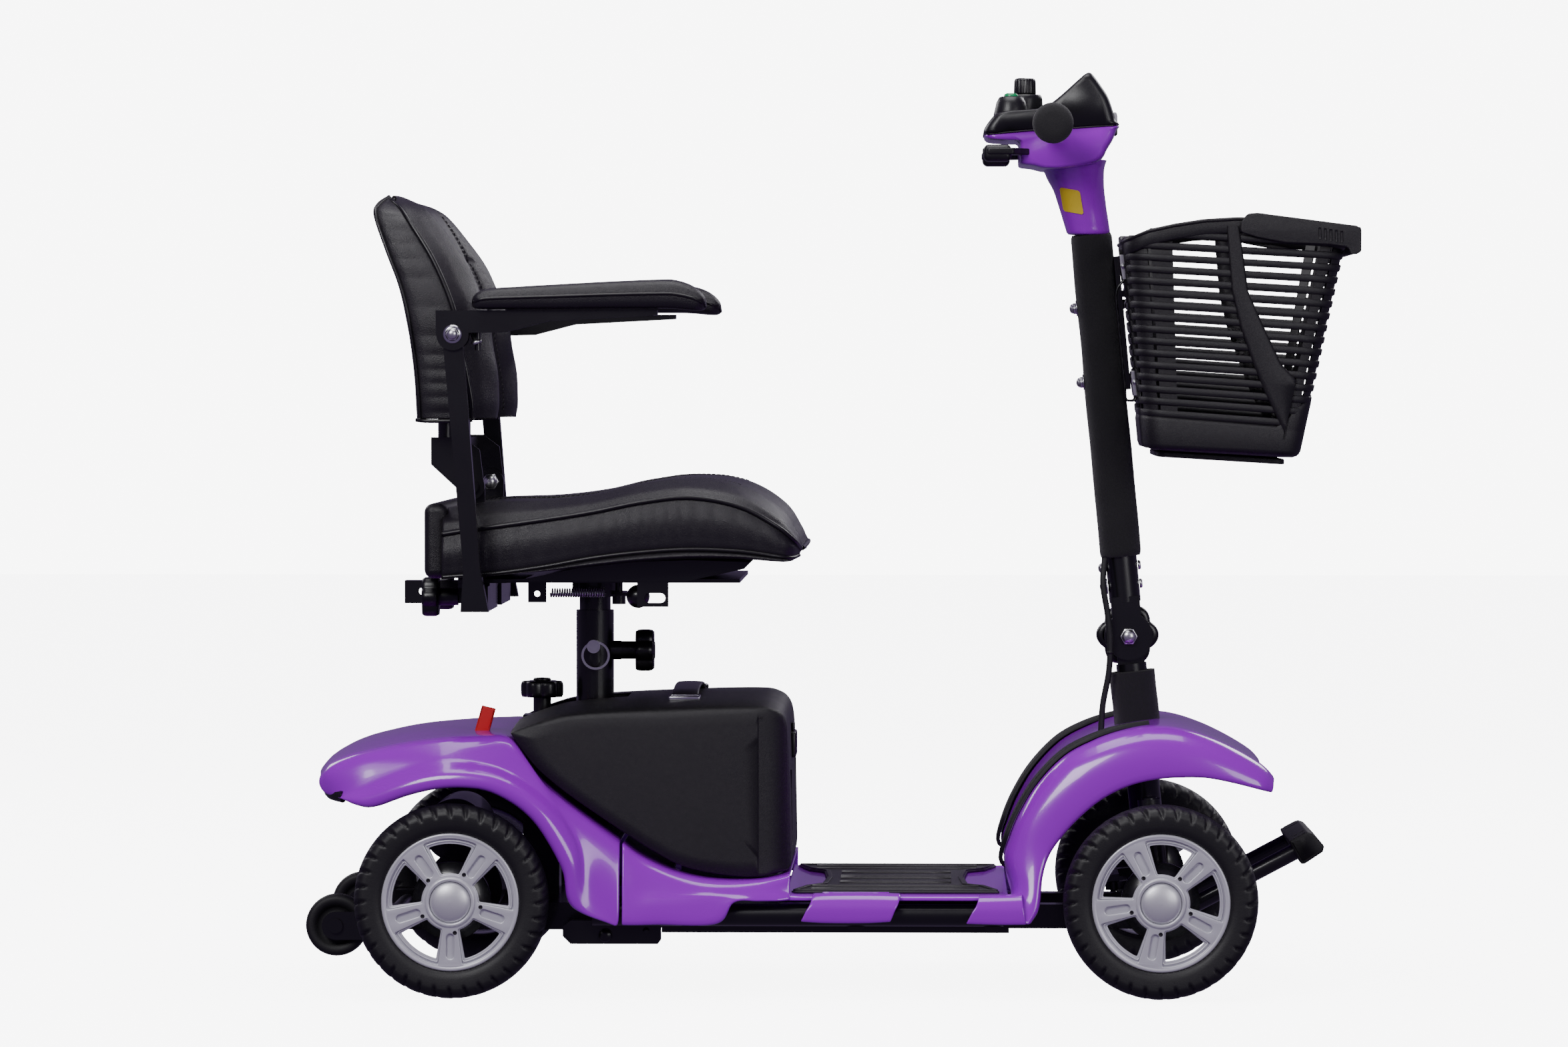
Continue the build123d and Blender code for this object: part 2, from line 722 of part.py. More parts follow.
with BuildPart() as basket:
    with BuildSketch(side(0)):
        with BuildLine():
            Polyline(*RIM, (476.4, 558.9), (468, 553.2), (326, 560.6), (317.9, 572.5), RIM[0])
        make_face()
    extrude(amount=145, both=True)
    with BuildSketch(side(0)):
        with BuildLine():
            Polyline((301.6, 830), (532, 830), (521.4, 779), (473.4, 561.8), (466.5, 556.4), (328.5, 563.6), (321.1, 574.5), (301.6, 776), (301.6, 830))
        make_face()
    extrude(amount=142, both=True, mode=Mode.SUBTRACT)
    # long slots in both side walls, running down to the front, cut short at the rib
    for i in range(14):
        z = 771 - 13.1 * i
        left, right = 344 + 0.9 * i, wall_front(z) - 18
        with BuildSketch(side(0)):
            for x0, x1 in ((left, rib_back(z)), (rib_front(z), right)):
                if x1 - x0 > 12:
                    with Locations(Location((((x0 + x1) / 2), z - 0.06 * ((x0 + x1) / 2 - 412), 0), (0, 0, -3.4))):
                        Rectangle(x1 - x0, 6)
        extrude(amount=150, both=True, mode=Mode.SUBTRACT)
    # slots across the front wall
    with BuildSketch(side(0)):
        for i in range(12):
            z = 764 - 14.5 * i
            with Locations((wall_front(z), z)):
                Rectangle(24, 7)
    extrude(amount=128, both=True, mode=Mode.SUBTRACT)
    # holes for the handle's pivots
    with BuildSketch(side(0)):
        with Locations(HANDLE_PIVOT):
            Circle(3.1)
    extrude(amount=150, both=True, mode=Mode.SUBTRACT)
    # hook at the back that drops over the bracket's tongue
    with BuildSketch(bolt_plane.offset(27.2)):
        with Locations((0, 402)):
            Rectangle(22, 6)
    extrude(amount=8)
    with BuildSketch(bolt_plane.offset(27.2)):
        with Locations((0, 386)):
            Rectangle(22, 34)
    extrude(amount=1.6)
save(basket.part, "basket")

# carrying handle lying forward round the basket's rim
HANDLE = [(414.6, 783.4), (414.6, 793), (421.5, 802.2), (431.4, 803.2), (533.9, 789.6), (538, 785.8), (538, 762), (527.3, 760.4), (524.6, 768), (505.6, 770.8), (460.4, 772.6), (432.2, 778.3), (414.6, 783.4)]
with BuildPart() as basket_handle:
    for y in (151, -145.8):
        with BuildSketch(side(y)):
            with BuildLine():
                Polyline(*HANDLE)
            make_face()
        extrude(amount=5.2)
    with BuildSketch(side(150)):
        with BuildLine():
            Polyline((532.2, 788), (533.9, 789.6), (538, 785.8), (538, 762), (532.2, 761.4), (532.2, 788))
        make_face()
    extrude(amount=300)
    for y in (149, -140.6):
        with BuildSketch(side(y)):
            with Locations(HANDLE_PIVOT):
                Circle(3)
        extrude(amount=8.4)
save(basket_handle.part, "basket_handle")

# ---------------------------------------------------------------- drive unit
with BuildPart() as gearbox:
    with BuildSketch(side(40)):
        with Locations((REAR_X, 100)):
            Circle(40)
    extrude(amount=80)
    with BuildSketch(side(184)):
        with Locations((REAR_X, 100)):
            Circle(12)
    extrude(amount=368)
    with BuildSketch(side(90)):
        with Locations((-402, 160)):
            Circle(33)
    extrude(amount=130)
    with BuildSketch(side(186)):
        with Locations((REAR_X, 100)):
            Circle(8.1)
    extrude(amount=372, mode=Mode.SUBTRACT)
with BuildPart() as axle:
    with BuildSketch(side(231)):
        with Locations((REAR_X, 100)):
            Circle(8)
    extrude(amount=462)
save(Compound(children=[gearbox.part.solid(), axle.part.solid()]), "drive_unit")

with BuildPart() as controller:
    with BuildSketch(Plane.XY.offset(87.3)):
        with Locations((100, 0)):
            RectangleRounded(100, 120, 6)
    extrude(amount=14)
save(controller.part, "controller_box")

# ---------------------------------------------------------------- battery
BATTERY_EDGE = [(-334, 267.5), (-302, 227), (-216, 165.5), (-159, 132.5), (-87, 121.5), (-48, 127.5)]
with BuildPart() as battery_case:
    with BuildSketch(side(0)):
        with BuildLine():
            Polyline(*BATTERY_EDGE, (-46, 150), (-50, 270), (-64, 292), (-110, 300), (-175, 297), (-240, 288), (-330, 272), BATTERY_EDGE[0])
        make_face()
    extrude(amount=186, both=True)
    # rounded corners seen from above
    with BuildSketch(Plane.XY.offset(100)):
        with Locations((-190, 0)):
            RectangleRounded(292, 372, 38)
    extrude(amount=220, mode=Mode.INTERSECT)
    # lower tub that stands on the rails
    with BuildSketch(Plane.XY.offset(87.3)):
        with Locations((-112, 0)):
            Rectangle(108, 220)
    extrude(amount=60)
    # notch at the back for the seat post and the lock tower
    with BuildSketch(Plane.XY.offset(80)):
        with Locations((-290, 0)):
            Rectangle(140, 90)
    extrude(amount=260, mode=Mode.SUBTRACT)
    # room for the cells, open underneath
    with BuildSketch(Plane.XY.offset(80)):
        with Locations((-112, 0)):
            Rectangle(102, 214)
    extrude(amount=190, mode=Mode.SUBTRACT)
    # hollow front handle under the latch
    with BuildSketch(across(-44)):
        with Locations((0, 258)):
            RectangleRounded(70, 22, 8)
    extrude(amount=-12, mode=Mode.SUBTRACT)
save(battery_case.part, "battery_case")

with BuildPart() as cells:
    with BuildSketch(Plane.XY.offset(88)):
        with Locations((-112, -53.5), (-112, 53.5)):
            Rectangle(100, 105)
    extrude(amount=178)
save(cells.part, "battery_cells")

# carrying strap across the top, its ends under two clips
with BuildPart() as battery_strap:
    with BuildSketch(across(-172)):
        with BuildLine():
            Polyline((-126, 298.6), (-126, 301.4), (-108, 301.6), (-88, 307), (0, 308.6), (88, 307), (108, 301.6), (126, 301.4), (126, 298.6), (106, 298.6), (86, 304.6), (0, 306.2), (-86, 304.6), (-106, 298.6), (-126, 298.6))
        make_face()
    extrude(amount=28)
save(battery_strap.part, "battery_strap")

# ---------------------------------------------------------------- body panels
SKIN = 3.0
REAR_TOP = [(-541, 222), (-500, 239), (-460, 251), (-375, 267.5), (-338, 268)]
with BuildPart() as rear_shroud:
    with BuildSketch(side(0)):
        with BuildLine():
            Polyline(
                *REAR_TOP, (-306, 223.6), (-219.5, 165.5), (-219.5, 76), (-277.5, 76),
            )
            ThreePointArc((-277.5, 76), (-310, 183), (-464, 194.5))
            Polyline((-464, 194.5), (-533, 198), (-541, 222))
        make_face()
    extrude(amount=229, both=True)
    with BuildSketch(side(0)):
        with BuildLine():
            Polyline((-536, 221), (-499, 236), (-459.5, 248), (-375, 264.5), (-340, 264.8), (-308, 220.5), (-216, 160), (-216, 70), (-272, 70), (-274, 80))
            ThreePointArc((-274, 80), (-307.5, 186), (-463, 197.6))
            Polyline((-463, 197.6), (-531, 201), (-536, 221))
        make_face()
    extrude(amount=226, both=True, mode=Mode.SUBTRACT)
    # open underneath between the wheel arches
    with BuildSketch(Plane.XY.offset(60)):
        with Locations((-380, 0)):
            Rectangle(330, 362)
    extrude(amount=150, mode=Mode.SUBTRACT)
    # the tail narrows toward the corners
    with BuildSketch(Plane.XY.offset(150)):
        with Locations((-541, -229), (-541, 229)):
            RegularPolygon(34, 4)
    extrude(amount=120, mode=Mode.SUBTRACT)
    # clearance for the post, the lock tower and the freewheel lever
    with BuildSketch(Plane.XY.offset(100)):
        with Locations((-285, 0)):
            Rectangle(134, 74)
        with Locations((-374, -120)):
            Rectangle(62, 16)
    extrude(amount=200, mode=Mode.SUBTRACT)
save(rear_shroud.part, "rear_shroud")

DECK_TOP = [(-217.5, 163.5), (-159, 130.5), (-87, 119.3), (-44, 124.8), (-38, DECK_Z), (172.5, DECK_Z)]
with BuildPart() as deck_shroud:
    with BuildSketch(side(0)):
        with BuildLine():
            Polyline(*DECK_TOP, (172.5, 80), (131, 80), (126, 95), (64, 95), (59, 80), (-34, 80), (-39, 92), (-110, 92), (-116, 76), (-217.5, 76), (-217.5, 163.5))
        make_face()
    extrude(amount=217, both=True)
    with BuildSketch(side(0)):
        with BuildLine():
            Polyline((-221, 162), (-160.5, 127.4), (-87.3, 116.3), (-46.5, 121.4), (-41.5, DECK_Z - SKIN), (176, DECK_Z - SKIN), (176, 60), (-221, 60), (-221, 162))
        make_face()
    extrude(amount=214, both=True, mode=Mode.SUBTRACT)
    # well for the battery's lower tub
    with BuildSketch(Plane.XY.offset(90)):
        with Locations((-112, 0)):
            Rectangle(111, 224)
    extrude(amount=60, mode=Mode.SUBTRACT)
    # clearance for the post's clamp boss
    with BuildSketch(Plane.XY.offset(90)):
        with Locations((-220, 0)):
            Rectangle(8, 74)
    extrude(amount=100, mode=Mode.SUBTRACT)
save(deck_shroud.part, "deck_shroud")

with BuildPart() as deck_mat:
    with BuildSketch(Plane.XY.offset(DECK_Z + 0.2)):
        with Locations((66, 0)):
            RectangleRounded(204, 376, 14)
    extrude(amount=3.6)
    with BuildSketch(Plane.XY.offset(DECK_Z + 2.4)):
        with Locations(*[(x, 0) for x in range(-24, 160, 12)]):
            Rectangle(3, 330)
    extrude(amount=4, mode=Mode.SUBTRACT)
save(deck_mat.part, "deck_mat")

with BuildPart() as front_shroud:
    with BuildSketch(side(0)):
        with BuildLine():
            Polyline((174.5, 80), (174.5, 150), (185, 188), (205, 222), (235, 250), (275, 268), (346, 274), (392, 262), (430, 238), (449, 214), (447, 206.5), (418, 214), (371, 222.5))
            ThreePointArc((371, 222.5), (262, 202), (206, 110))
            Polyline((206, 110), (206, 80), (174.5, 80))
        make_face()
    extrude(amount=186, both=True)
    with BuildSketch(side(0)):
        with BuildLine():
            Polyline((177.5, 70), (177.5, 150), (187.7, 186.7), (207.3, 220), (236.5, 247.3), (275.5, 265), (346, 271), (390.5, 259.2), (428, 235.7), (443, 212), (418, 217.2), (371, 225.6))
            ThreePointArc((371, 225.6), (260, 204.4), (203, 110))
            Polyline((203, 110), (203, 70), (177.5, 70))
        make_face()
    extrude(amount=183, both=True, mode=Mode.SUBTRACT)
    # clearance for the frame rails and tubes that run through the columns
    with BuildSketch(across(170)):
        with Locations((-75, 74.5), (75, 74.5)):
            Rectangle(29, 29)
        with Locations((-160, 72), (160, 72)):
            Rectangle(20, 20)
    extrude(amount=60, mode=Mode.SUBTRACT)
    # opening for the head tube, the stem and the control cable
    with BuildSketch(Plane.XY.offset(150)):
        with Locations((308, 0)):
            Rectangle(96, 76)
    extrude(amount=140, mode=Mode.SUBTRACT)
    # between the front wheels the arch skin is open round the axle
    with BuildSketch(Plane.XY.offset(60)):
        with Locations((330, 0)):
            Rectangle(170, 300)
    extrude(amount=157, mode=Mode.SUBTRACT)
save(front_shroud.part, "front_shroud")

with BuildPart() as freewheel:
    with BuildSketch(side(-116)):
        with BuildLine():
            Polyline((-378, 222), (-366, 222), (-356, 262), (-355, 290), (-363, 293), (-369, 288), (-371, 264), (-378, 222))
        make_face()
        with Locations((-372, 225)):
            Circle(8)
        with Locations((-372, 225)):
            Circle(3, mode=Mode.SUBTRACT)
    extrude(amount=8)
save(freewheel.part, "freewheel_lever")

with BuildPart() as lock_knob:
    with BuildSketch(Plane.XY.offset(296)):
        with Locations((-313, 0)):
            Circle(17)
            with PolarLocations(15, 6):
                Circle(6)
    extrude(amount=18)
    with BuildSketch(Plane.XY.offset(281)):
        with Locations((-313, 0)):
            Circle(9)
    extrude(amount=16)
    with BuildSketch(Plane.XY.offset(244)):
        with Locations((-313, 0)):
            Circle(4)
    extrude(amount=40)
save(lock_knob.part, "lock_knob")

# ---------------------------------------------------------------- seat post
with BuildPart() as post_inner:
    with BuildSketch(Plane.XY.offset(130)):
        with Locations((POST_X, 0)):
            Circle(INNER_R)
            Circle(13.5, mode=Mode.SUBTRACT)
    extrude(amount=287)
    with BuildSketch(side(20)):
        with Locations((POST_X, 315)):
            SlotOverall(83.4, 8.4, rotation=90)
    extrude(amount=40, mode=Mode.SUBTRACT)
save(post_inner.part, "post_inner")

with BuildPart() as post_knob:
    with BuildSketch(across(-213)):
        with Locations((0, 347.5)):
            Circle(16)
            with PolarLocations(15, 6):
                Circle(6)
    extrude(amount=20)
    with BuildSketch(across(-229)):
        with Locations((0, 347.5)):
            Circle(8)
    extrude(amount=17)
    with BuildSketch(across(-240)):
        with Locations((0, 347.5)):
            Circle(3)
    extrude(amount=20)
save(post_knob.part, "post_knob")

with BuildPart() as height_pin:
    with BuildSketch(side(26)):
        with Locations((POST_X, 352.5)):
            Circle(4)
    extrude(amount=60)
    with BuildSketch(side(-21)):
        with Locations((POST_X, 352.5)):
            Circle(7)
    extrude(amount=14)
    with BuildSketch(side(-29)):
        with Locations((POST_X + 2, 343)):
            Circle(15)
            Circle(12.6, mode=Mode.SUBTRACT)
    extrude(amount=2.6)
save(height_pin.part, "height_pin")

# ---------------------------------------------------------------- seat base
with BuildPart() as seat_frame:
    with BuildSketch(Plane.XY.offset(SEAT_Z)):
        with Locations((-225, 0)):
            Rectangle(250, 300)
        with Locations((-365, 0)):
            Rectangle(50, 320)
    extrude(amount=4)
    with BuildSketch(Plane.XY.offset(404)):
        with Locations((POST_X, 0)):
            Circle(24)
    extrude(amount=21)
    # moulded pan under the cushion
    with BuildSketch(side(0)):
        with BuildLine():
            Polyline((-340, 425), (-155, 425), (-95, 438), (-88, 445), (-150, 447), (-240, 444), (-320, 427.8), (-340, 427), (-340, 425))
        make_face()
    extrude(amount=170, both=True)
    # receiver tubes for the armrests, one each side
    for y0 in (-178, 30):
        with BuildSketch(side(y0 + 148)):
            with Locations((RECEIVER_X, RECEIVER_Z)):
                Rectangle(26, 26)
        extrude(amount=148)
    with BuildSketch(Plane.XY.offset(417)):
        with Locations((RECEIVER_X, 0)):
            Rectangle(26, 300)
    extrude(amount=7)
    # rear accessory receiver between them
    with BuildSketch(across(-355)):
        with Locations((0, 409)):
            Rectangle(25, 24)
    extrude(amount=-102)
    # hinge ears for the backrest
    for y in (-149, 143):
        with BuildSketch(side(y + 6)):
            with Locations((BACK_PIVOT[0], BACK_PIVOT[1])):
                Circle(14)
            with Locations((BACK_PIVOT[0], 470)):
                Rectangle(28, 105)
        extrude(amount=6)
    # tab for the spring, and the lever's slotted guide
    with BuildSketch(side(-66)):
        with Locations((-314, 414)):
            Rectangle(19, 28)
        with Locations((-314, 409)):
            Circle(3.2, mode=Mode.SUBTRACT)
    extrude(amount=3)
    with BuildSketch(side(-166)):
        with Locations((-189, 413)):
            Rectangle(32, 28)
        with Locations((-187, 408)):
            SlotOverall(22, 10, mode=Mode.SUBTRACT)
    extrude(amount=3)
    # bores
    with BuildSketch(Plane.XY.offset(400)):
        with Locations((POST_X, 0)):
            Circle(INNER_R + 0.2)
    extrude(amount=18, mode=Mode.SUBTRACT)
    for y0 in (-181, 27):
        with BuildSketch(side(y0 + 154)):
            with Locations((RECEIVER_X, RECEIVER_Z)):
                Rectangle(21, 21)
        extrude(amount=154, mode=Mode.SUBTRACT)
    for y in (-100, 100):
        with BuildSketch(across(-390)):
            with Locations((y, RECEIVER_Z)):
                Circle(4.2)
        extrude(amount=10, mode=Mode.SUBTRACT)
    with BuildSketch(across(-460)):
        with Locations((0, 409)):
            Rectangle(20, 19)
    extrude(amount=70, mode=Mode.SUBTRACT)
    with BuildSketch(side(20)):
        with Locations((-440, 409)):
            Circle(4)
    extrude(amount=40, mode=Mode.SUBTRACT)
    with BuildSketch(side(160)):
        with Locations((BACK_PIVOT[0], BACK_PIVOT[1])):
            Circle(5.1)
    extrude(amount=320, mode=Mode.SUBTRACT)
    with BuildSketch(Plane.XY.offset(400)):
        with Locations((-229, -60)):
            Circle(4.1)
    extrude(amount=60, mode=Mode.SUBTRACT)
save(seat_frame.part, "seat_frame")

with BuildPart() as swivel_lever:
    with BuildSketch(Plane.XY.offset(408)):
        with Locations((-229, -60)):
            Circle(9)
        with Locations(Location((-217, -104), 105.3)):
            Rectangle(92, 11)
    extrude(amount=4)
    with BuildSketch(Plane.XY.offset(400)):
        with Locations((-229, -60)):
            Circle(4)
    extrude(amount=22)
    with BuildSketch(Plane.XY.offset(398)):
        with Locations((-229, -60)):
            Circle(7)
    extrude(amount=9)
    with Locations((-205, -148, 409)):
        Sphere(12)
save(swivel_lever.part, "swivel_lever")

with BuildPart() as lever_spring:
    with BuildSketch(across(-300)):
        with Locations((-67.5, 410)):
            Circle(5)
            Circle(3, mode=Mode.SUBTRACT)
    extrude(amount=58)
save(lever_spring.part, "lever_spring")

# seat cushion
with BuildPart() as seat_cushion:
    with BuildSketch(side(0)):
        with BuildLine():
            Line((-340, 429), (-412, 450))
            Line((-412, 450), (-412, 500))
            Line((-412, 500), (-355, 508))
            Spline((-355, 508), (-300, 509.5), (-250, 516), (-200, 527), (-150, 532.5), (-100, 525), (-60, 500), (-36, 466))
            Polyline((-36, 466), (-36, 455), (-60, 447.6), (-150, 449.6), (-240, 447), (-320, 431), (-340, 429))
        make_face()
    extrude(amount=150, both=True)
    with BuildSketch(side(0)):
        with BuildLine():
            Line((-330, 434), (-408, 452))
            Line((-408, 452), (-408, 470))
            Line((-408, 470), (-355, 482))
            Spline((-355, 482), (-300, 490), (-250, 497.5), (-150, 511), (-100, 503), (-60, 483), (-42, 462))
            Polyline((-42, 462), (-60, 449), (-150, 452), (-240, 449), (-330, 434))
        make_face()
    extrude(amount=205, both=True)
    # pockets that clear the hinge ears and the back frame
    for y in (-156.5, 142.0):
        with BuildSketch(side(y + 14.5)):
            with Locations((-387, 480)):
                Rectangle(62, 110)
        extrude(amount=14.5, mode=Mode.SUBTRACT)
save(seat_cushion.part, "seat_cushion")

# ---------------------------------------------------------------- backrest
with BuildPart() as back_frame:
    for y in (-155.5, 149.5):
        with BuildSketch(side(y + 6)):
            with Locations((BACK_PIVOT[0], BACK_PIVOT[1])):
                Circle(14)
            with BuildLine():
                Polyline((-391, 520), (-363, 520), (-368, 560), (-385, 573), (-418, 573), (-418, 545), (-391, 520))
            make_face()
        extrude(amount=6)
    with BuildSketch(side(155.5)):
        with Locations((-403, 562)):
            Rectangle(24, 18)
    extrude(amount=311)
    for y in (-125, 125):
        with BuildSketch(Plane.XY.offset(560)):
            with Locations((-405, y)):
                Circle(8)
        extrude(amount=135)
    with BuildSketch(side(160)):
        with Locations((BACK_PIVOT[0], BACK_PIVOT[1])):
            Circle(5.1)
    extrude(amount=320, mode=Mode.SUBTRACT)
pivots = []
for y in (-149, 149):
    with BuildPart() as pivot:
        with BuildSketch(side(y + 8)):
            with Locations((BACK_PIVOT[0], BACK_PIVOT[1])):
                Circle(5)
        extrude(amount=16)
        with BuildSketch(side(y + (7 if y < 0 else 10.5))):
            with Locations((BACK_PIVOT[0], BACK_PIVOT[1])):
                Circle(8)
        extrude(amount=0.8 if y < 0 else 3.6)
        with BuildSketch(side(y - (6.9 if y < 0 else 6.2))):
            with Locations((BACK_PIVOT[0], BACK_PIVOT[1])):
                Circle(8)
        extrude(amount=3.6 if y < 0 else 0.8)
    pivots.append(pivot.part.solid())
save(Compound(children=[back_frame.part.solid()] + pivots), "back_frame")

with BuildPart() as backrest:
    with BuildSketch(side(0)):
        with BuildLine():
            Spline((-432, 580), (-435, 650), (-450, 730), (-474, 802))
            Polyline((-474, 802), (-462, 817), (-430, 812))
            Spline((-430, 812), (-410, 770), (-393, 720), (-378, 650), (-373, 580))
            Line((-373, 580), (-432, 580))
        make_face()
    extrude(amount=130, both=True)
    with BuildSketch(side(0)):
        with BuildLine():
            Spline((-422, 583), (-426, 650), (-440, 730), (-461, 799))
            Polyline((-461, 799), (-445, 808), (-431, 804))
            Spline((-431, 804), (-404, 769), (-382, 727), (-366, 650), (-359, 589))
            Line((-359, 589), (-422, 583))
        make_face()
    extrude(amount=200, both=True)
    for y in (-125, 125):
        with BuildSketch(Plane.XY.offset(570)):
            with Locations((-405, y)):
                Circle(8.6)
        extrude(amount=128, mode=Mode.SUBTRACT)
save(backrest.part, "backrest_cushion")

# ---------------------------------------------------------------- armrests
for tag, sgn in (("right", -1), ("left", 1)):
    with BuildPart() as arm_post:
        with BuildSketch(Plane(origin=(RECEIVER_X, sgn * 60, RECEIVER_Z), x_dir=(1, 0, 0), z_dir=(0, sgn, 0))):
            Rectangle(20.4, 20.4)
        extrude(amount=170)
        with BuildSketch(side(ARM_Y * sgn + 8)):
            with BuildLine():
                Polyline((-381.5, 396), (-353, 396), (-361.5, 440), (-379.5, 676), (-399.5, 676), (-378.5, 440), (-381.5, 396))
            make_face()
            with Locations((ARM_PIVOT[0] - 0.4, ARM_PIVOT[1])):
                Circle(10)
        extrude(amount=16)
        with BuildSketch(side(ARM_Y * sgn + 10)):
            with Locations(ARM_PIVOT):
                Circle(5.1)
        extrude(amount=20, mode=Mode.SUBTRACT)
        with BuildSketch(Plane(origin=(RECEIVER_X, sgn * 55, RECEIVER_Z), x_dir=(1, 0, 0), z_dir=(0, sgn, 0))):
            Rectangle(15, 15)
        extrude(amount=150, mode=Mode.SUBTRACT)
    save(arm_post.part, f"arm_post_{tag}")

    with BuildPart() as bracket:
        with BuildSketch(side(ARM_Y * sgn + 11.4)):
            with BuildLine():
                Polyline((-406, 702.6), (-406, 679), (-335, 680.6), (-291, 692), (-181, 697.8), (-181, 702.6), (-406, 702.6))
            make_face()
            with Locations(ARM_PIVOT):
                Circle(16.5)
        extrude(amount=22.8)
        with BuildSketch(side(ARM_Y * sgn + 8.7)):
            with Locations((-300, 680)):
                Rectangle(230, 39)
        extrude(amount=17.4, mode=Mode.SUBTRACT)
        with BuildSketch(side(ARM_Y * sgn + 20)):
            with Locations(ARM_PIVOT):
                Circle(5.1)
        extrude(amount=40, mode=Mode.SUBTRACT)
    with BuildPart() as arm_bolt:
        with BuildSketch(side(ARM_Y * sgn + 12)):
            with Locations(ARM_PIVOT):
                Circle(5)
        extrude(amount=24)
        with BuildSketch(side(ARM_Y * sgn + 14)):
            with Locations(ARM_PIVOT):
                Circle(7)
        extrude(amount=2.5)
        with BuildSketch(side(ARM_Y * sgn - 11.5)):
            with Locations(ARM_PIVOT):
                Circle(7)
        extrude(amount=2.5)
    with BuildPart() as stop_screw:
        with BuildSketch(Plane.XY.offset(662)):
            with Locations((-364, ARM_Y * sgn)):
                Circle(3)
        extrude(amount=36.5)
        with BuildSketch(Plane.XY.offset(694)):
            with Locations((-364, ARM_Y * sgn)):
                Circle(5)
        extrude(amount=5.2)
    save(Compound(children=[bracket.part.solid(), arm_bolt.part.solid(), stop_screw.part.solid()]), f"arm_bracket_{tag}")

    with BuildPart() as arm_pad:
        with BuildSketch(side(ARM_Y * sgn + 24)):
            with BuildLine():
                Polyline((-370, 703), (-366, 715), (-356, 722), (-340, 726), (-286, 728), (-170, 733.5), (-155, 730), (-140, 718), (-131, 706), (-150, 703.5), (-175, 703), (-370, 703))
            make_face()
        extrude(amount=48)
    save(arm_pad.part, f"arm_pad_{tag}")

    with BuildPart() as arm_knob:
        with BuildSketch(across(-432)):
            with Locations((100 * sgn, RECEIVER_Z)):
                Circle(16)
                with PolarLocations(15.5, 6):
                    Circle(6)
        extrude(amount=20)
        with BuildSketch(across(-413)):
            with Locations((100 * sgn, RECEIVER_Z)):
                Circle(8)
        extrude(amount=8)
        with BuildSketch(across(-406)):
            with Locations((100 * sgn, RECEIVER_Z)):
                Circle(4)
        extrude(amount=23.5)
    save(arm_knob.part, f"arm_knob_{tag}")
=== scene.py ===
import json
import math

import bpy
import numpy as np
from mathutils import Matrix, Vector


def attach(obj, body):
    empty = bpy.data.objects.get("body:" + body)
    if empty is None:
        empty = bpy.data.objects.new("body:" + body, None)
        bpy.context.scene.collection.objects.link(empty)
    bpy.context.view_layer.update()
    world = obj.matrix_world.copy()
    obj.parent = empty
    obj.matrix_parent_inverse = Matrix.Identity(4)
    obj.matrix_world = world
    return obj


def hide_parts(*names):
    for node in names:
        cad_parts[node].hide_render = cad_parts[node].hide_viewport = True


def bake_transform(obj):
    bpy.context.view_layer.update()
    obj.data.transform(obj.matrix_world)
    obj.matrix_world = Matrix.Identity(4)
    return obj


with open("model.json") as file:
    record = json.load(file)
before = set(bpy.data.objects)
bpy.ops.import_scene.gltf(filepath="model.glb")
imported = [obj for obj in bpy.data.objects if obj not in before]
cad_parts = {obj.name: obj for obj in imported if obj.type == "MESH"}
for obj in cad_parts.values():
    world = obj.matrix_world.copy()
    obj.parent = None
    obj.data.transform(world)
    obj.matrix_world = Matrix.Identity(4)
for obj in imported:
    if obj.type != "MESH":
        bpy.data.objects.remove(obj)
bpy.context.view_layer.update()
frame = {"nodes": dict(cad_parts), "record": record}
MM = 0.001
rng = np.random.default_rng(7)
TAU = math.tau


# ------------------------------------------------------------------ geometry helpers
def link(o):
    bpy.context.scene.collection.objects.link(o)
    return o


def mesh(name, verts, faces, smooth=True):
    """verts in millimetres."""
    m = bpy.data.meshes.new(name)
    m.from_pydata([tuple(float(c) * MM for c in v) for v in verts], [], [tuple(int(i) for i in f) for f in faces])
    m.validate()
    m.update()
    o = link(bpy.data.objects.new(name, m))
    if smooth:
        m.polygons.foreach_set("use_smooth", [True] * len(m.polygons))
    return o


def apply(o):
    """Bakes the modifiers into the mesh."""
    bpy.context.view_layer.update()
    dg = bpy.context.evaluated_depsgraph_get()
    new = bpy.data.meshes.new_from_object(o.evaluated_get(dg), depsgraph=dg)
    if o.type == "CURVE":
        p = link(bpy.data.objects.new(o.name + "_m", new))
        p.matrix_world = o.matrix_world.copy()
        name = o.name
        bpy.data.objects.remove(o)
        p.name = name
        return p
    o.modifiers.clear()
    o.data = new
    return o


def mod(o, kind, **kw):
    m = o.modifiers.new(kind, kind)
    for k, v in kw.items():
        setattr(m, k, v)
    return m


def join(name, objs):
    objs = [apply(o) if (o.modifiers or o.type == "CURVE") else o for o in objs]
    vs, fs, ms, sm, mats = [], [], [], [], []
    for o in objs:
        base = len(vs)
        mw = o.matrix_world
        vs += [tuple(mw @ v.co) for v in o.data.vertices]
        slots = []
        for s in o.data.materials:
            if s not in mats:
                mats.append(s)
            slots.append(mats.index(s))
        for p in o.data.polygons:
            fs.append(tuple(base + i for i in p.vertices))
            ms.append(slots[p.material_index] if slots else 0)
            sm.append(p.use_smooth)
    m = bpy.data.meshes.new(name)
    m.from_pydata(vs, [], fs)
    for s in mats:
        m.materials.append(s)
    m.polygons.foreach_set("material_index", ms)
    m.polygons.foreach_set("use_smooth", sm)
    m.update()
    for o in objs:
        bpy.data.objects.remove(o)
    return link(bpy.data.objects.new(name, m))


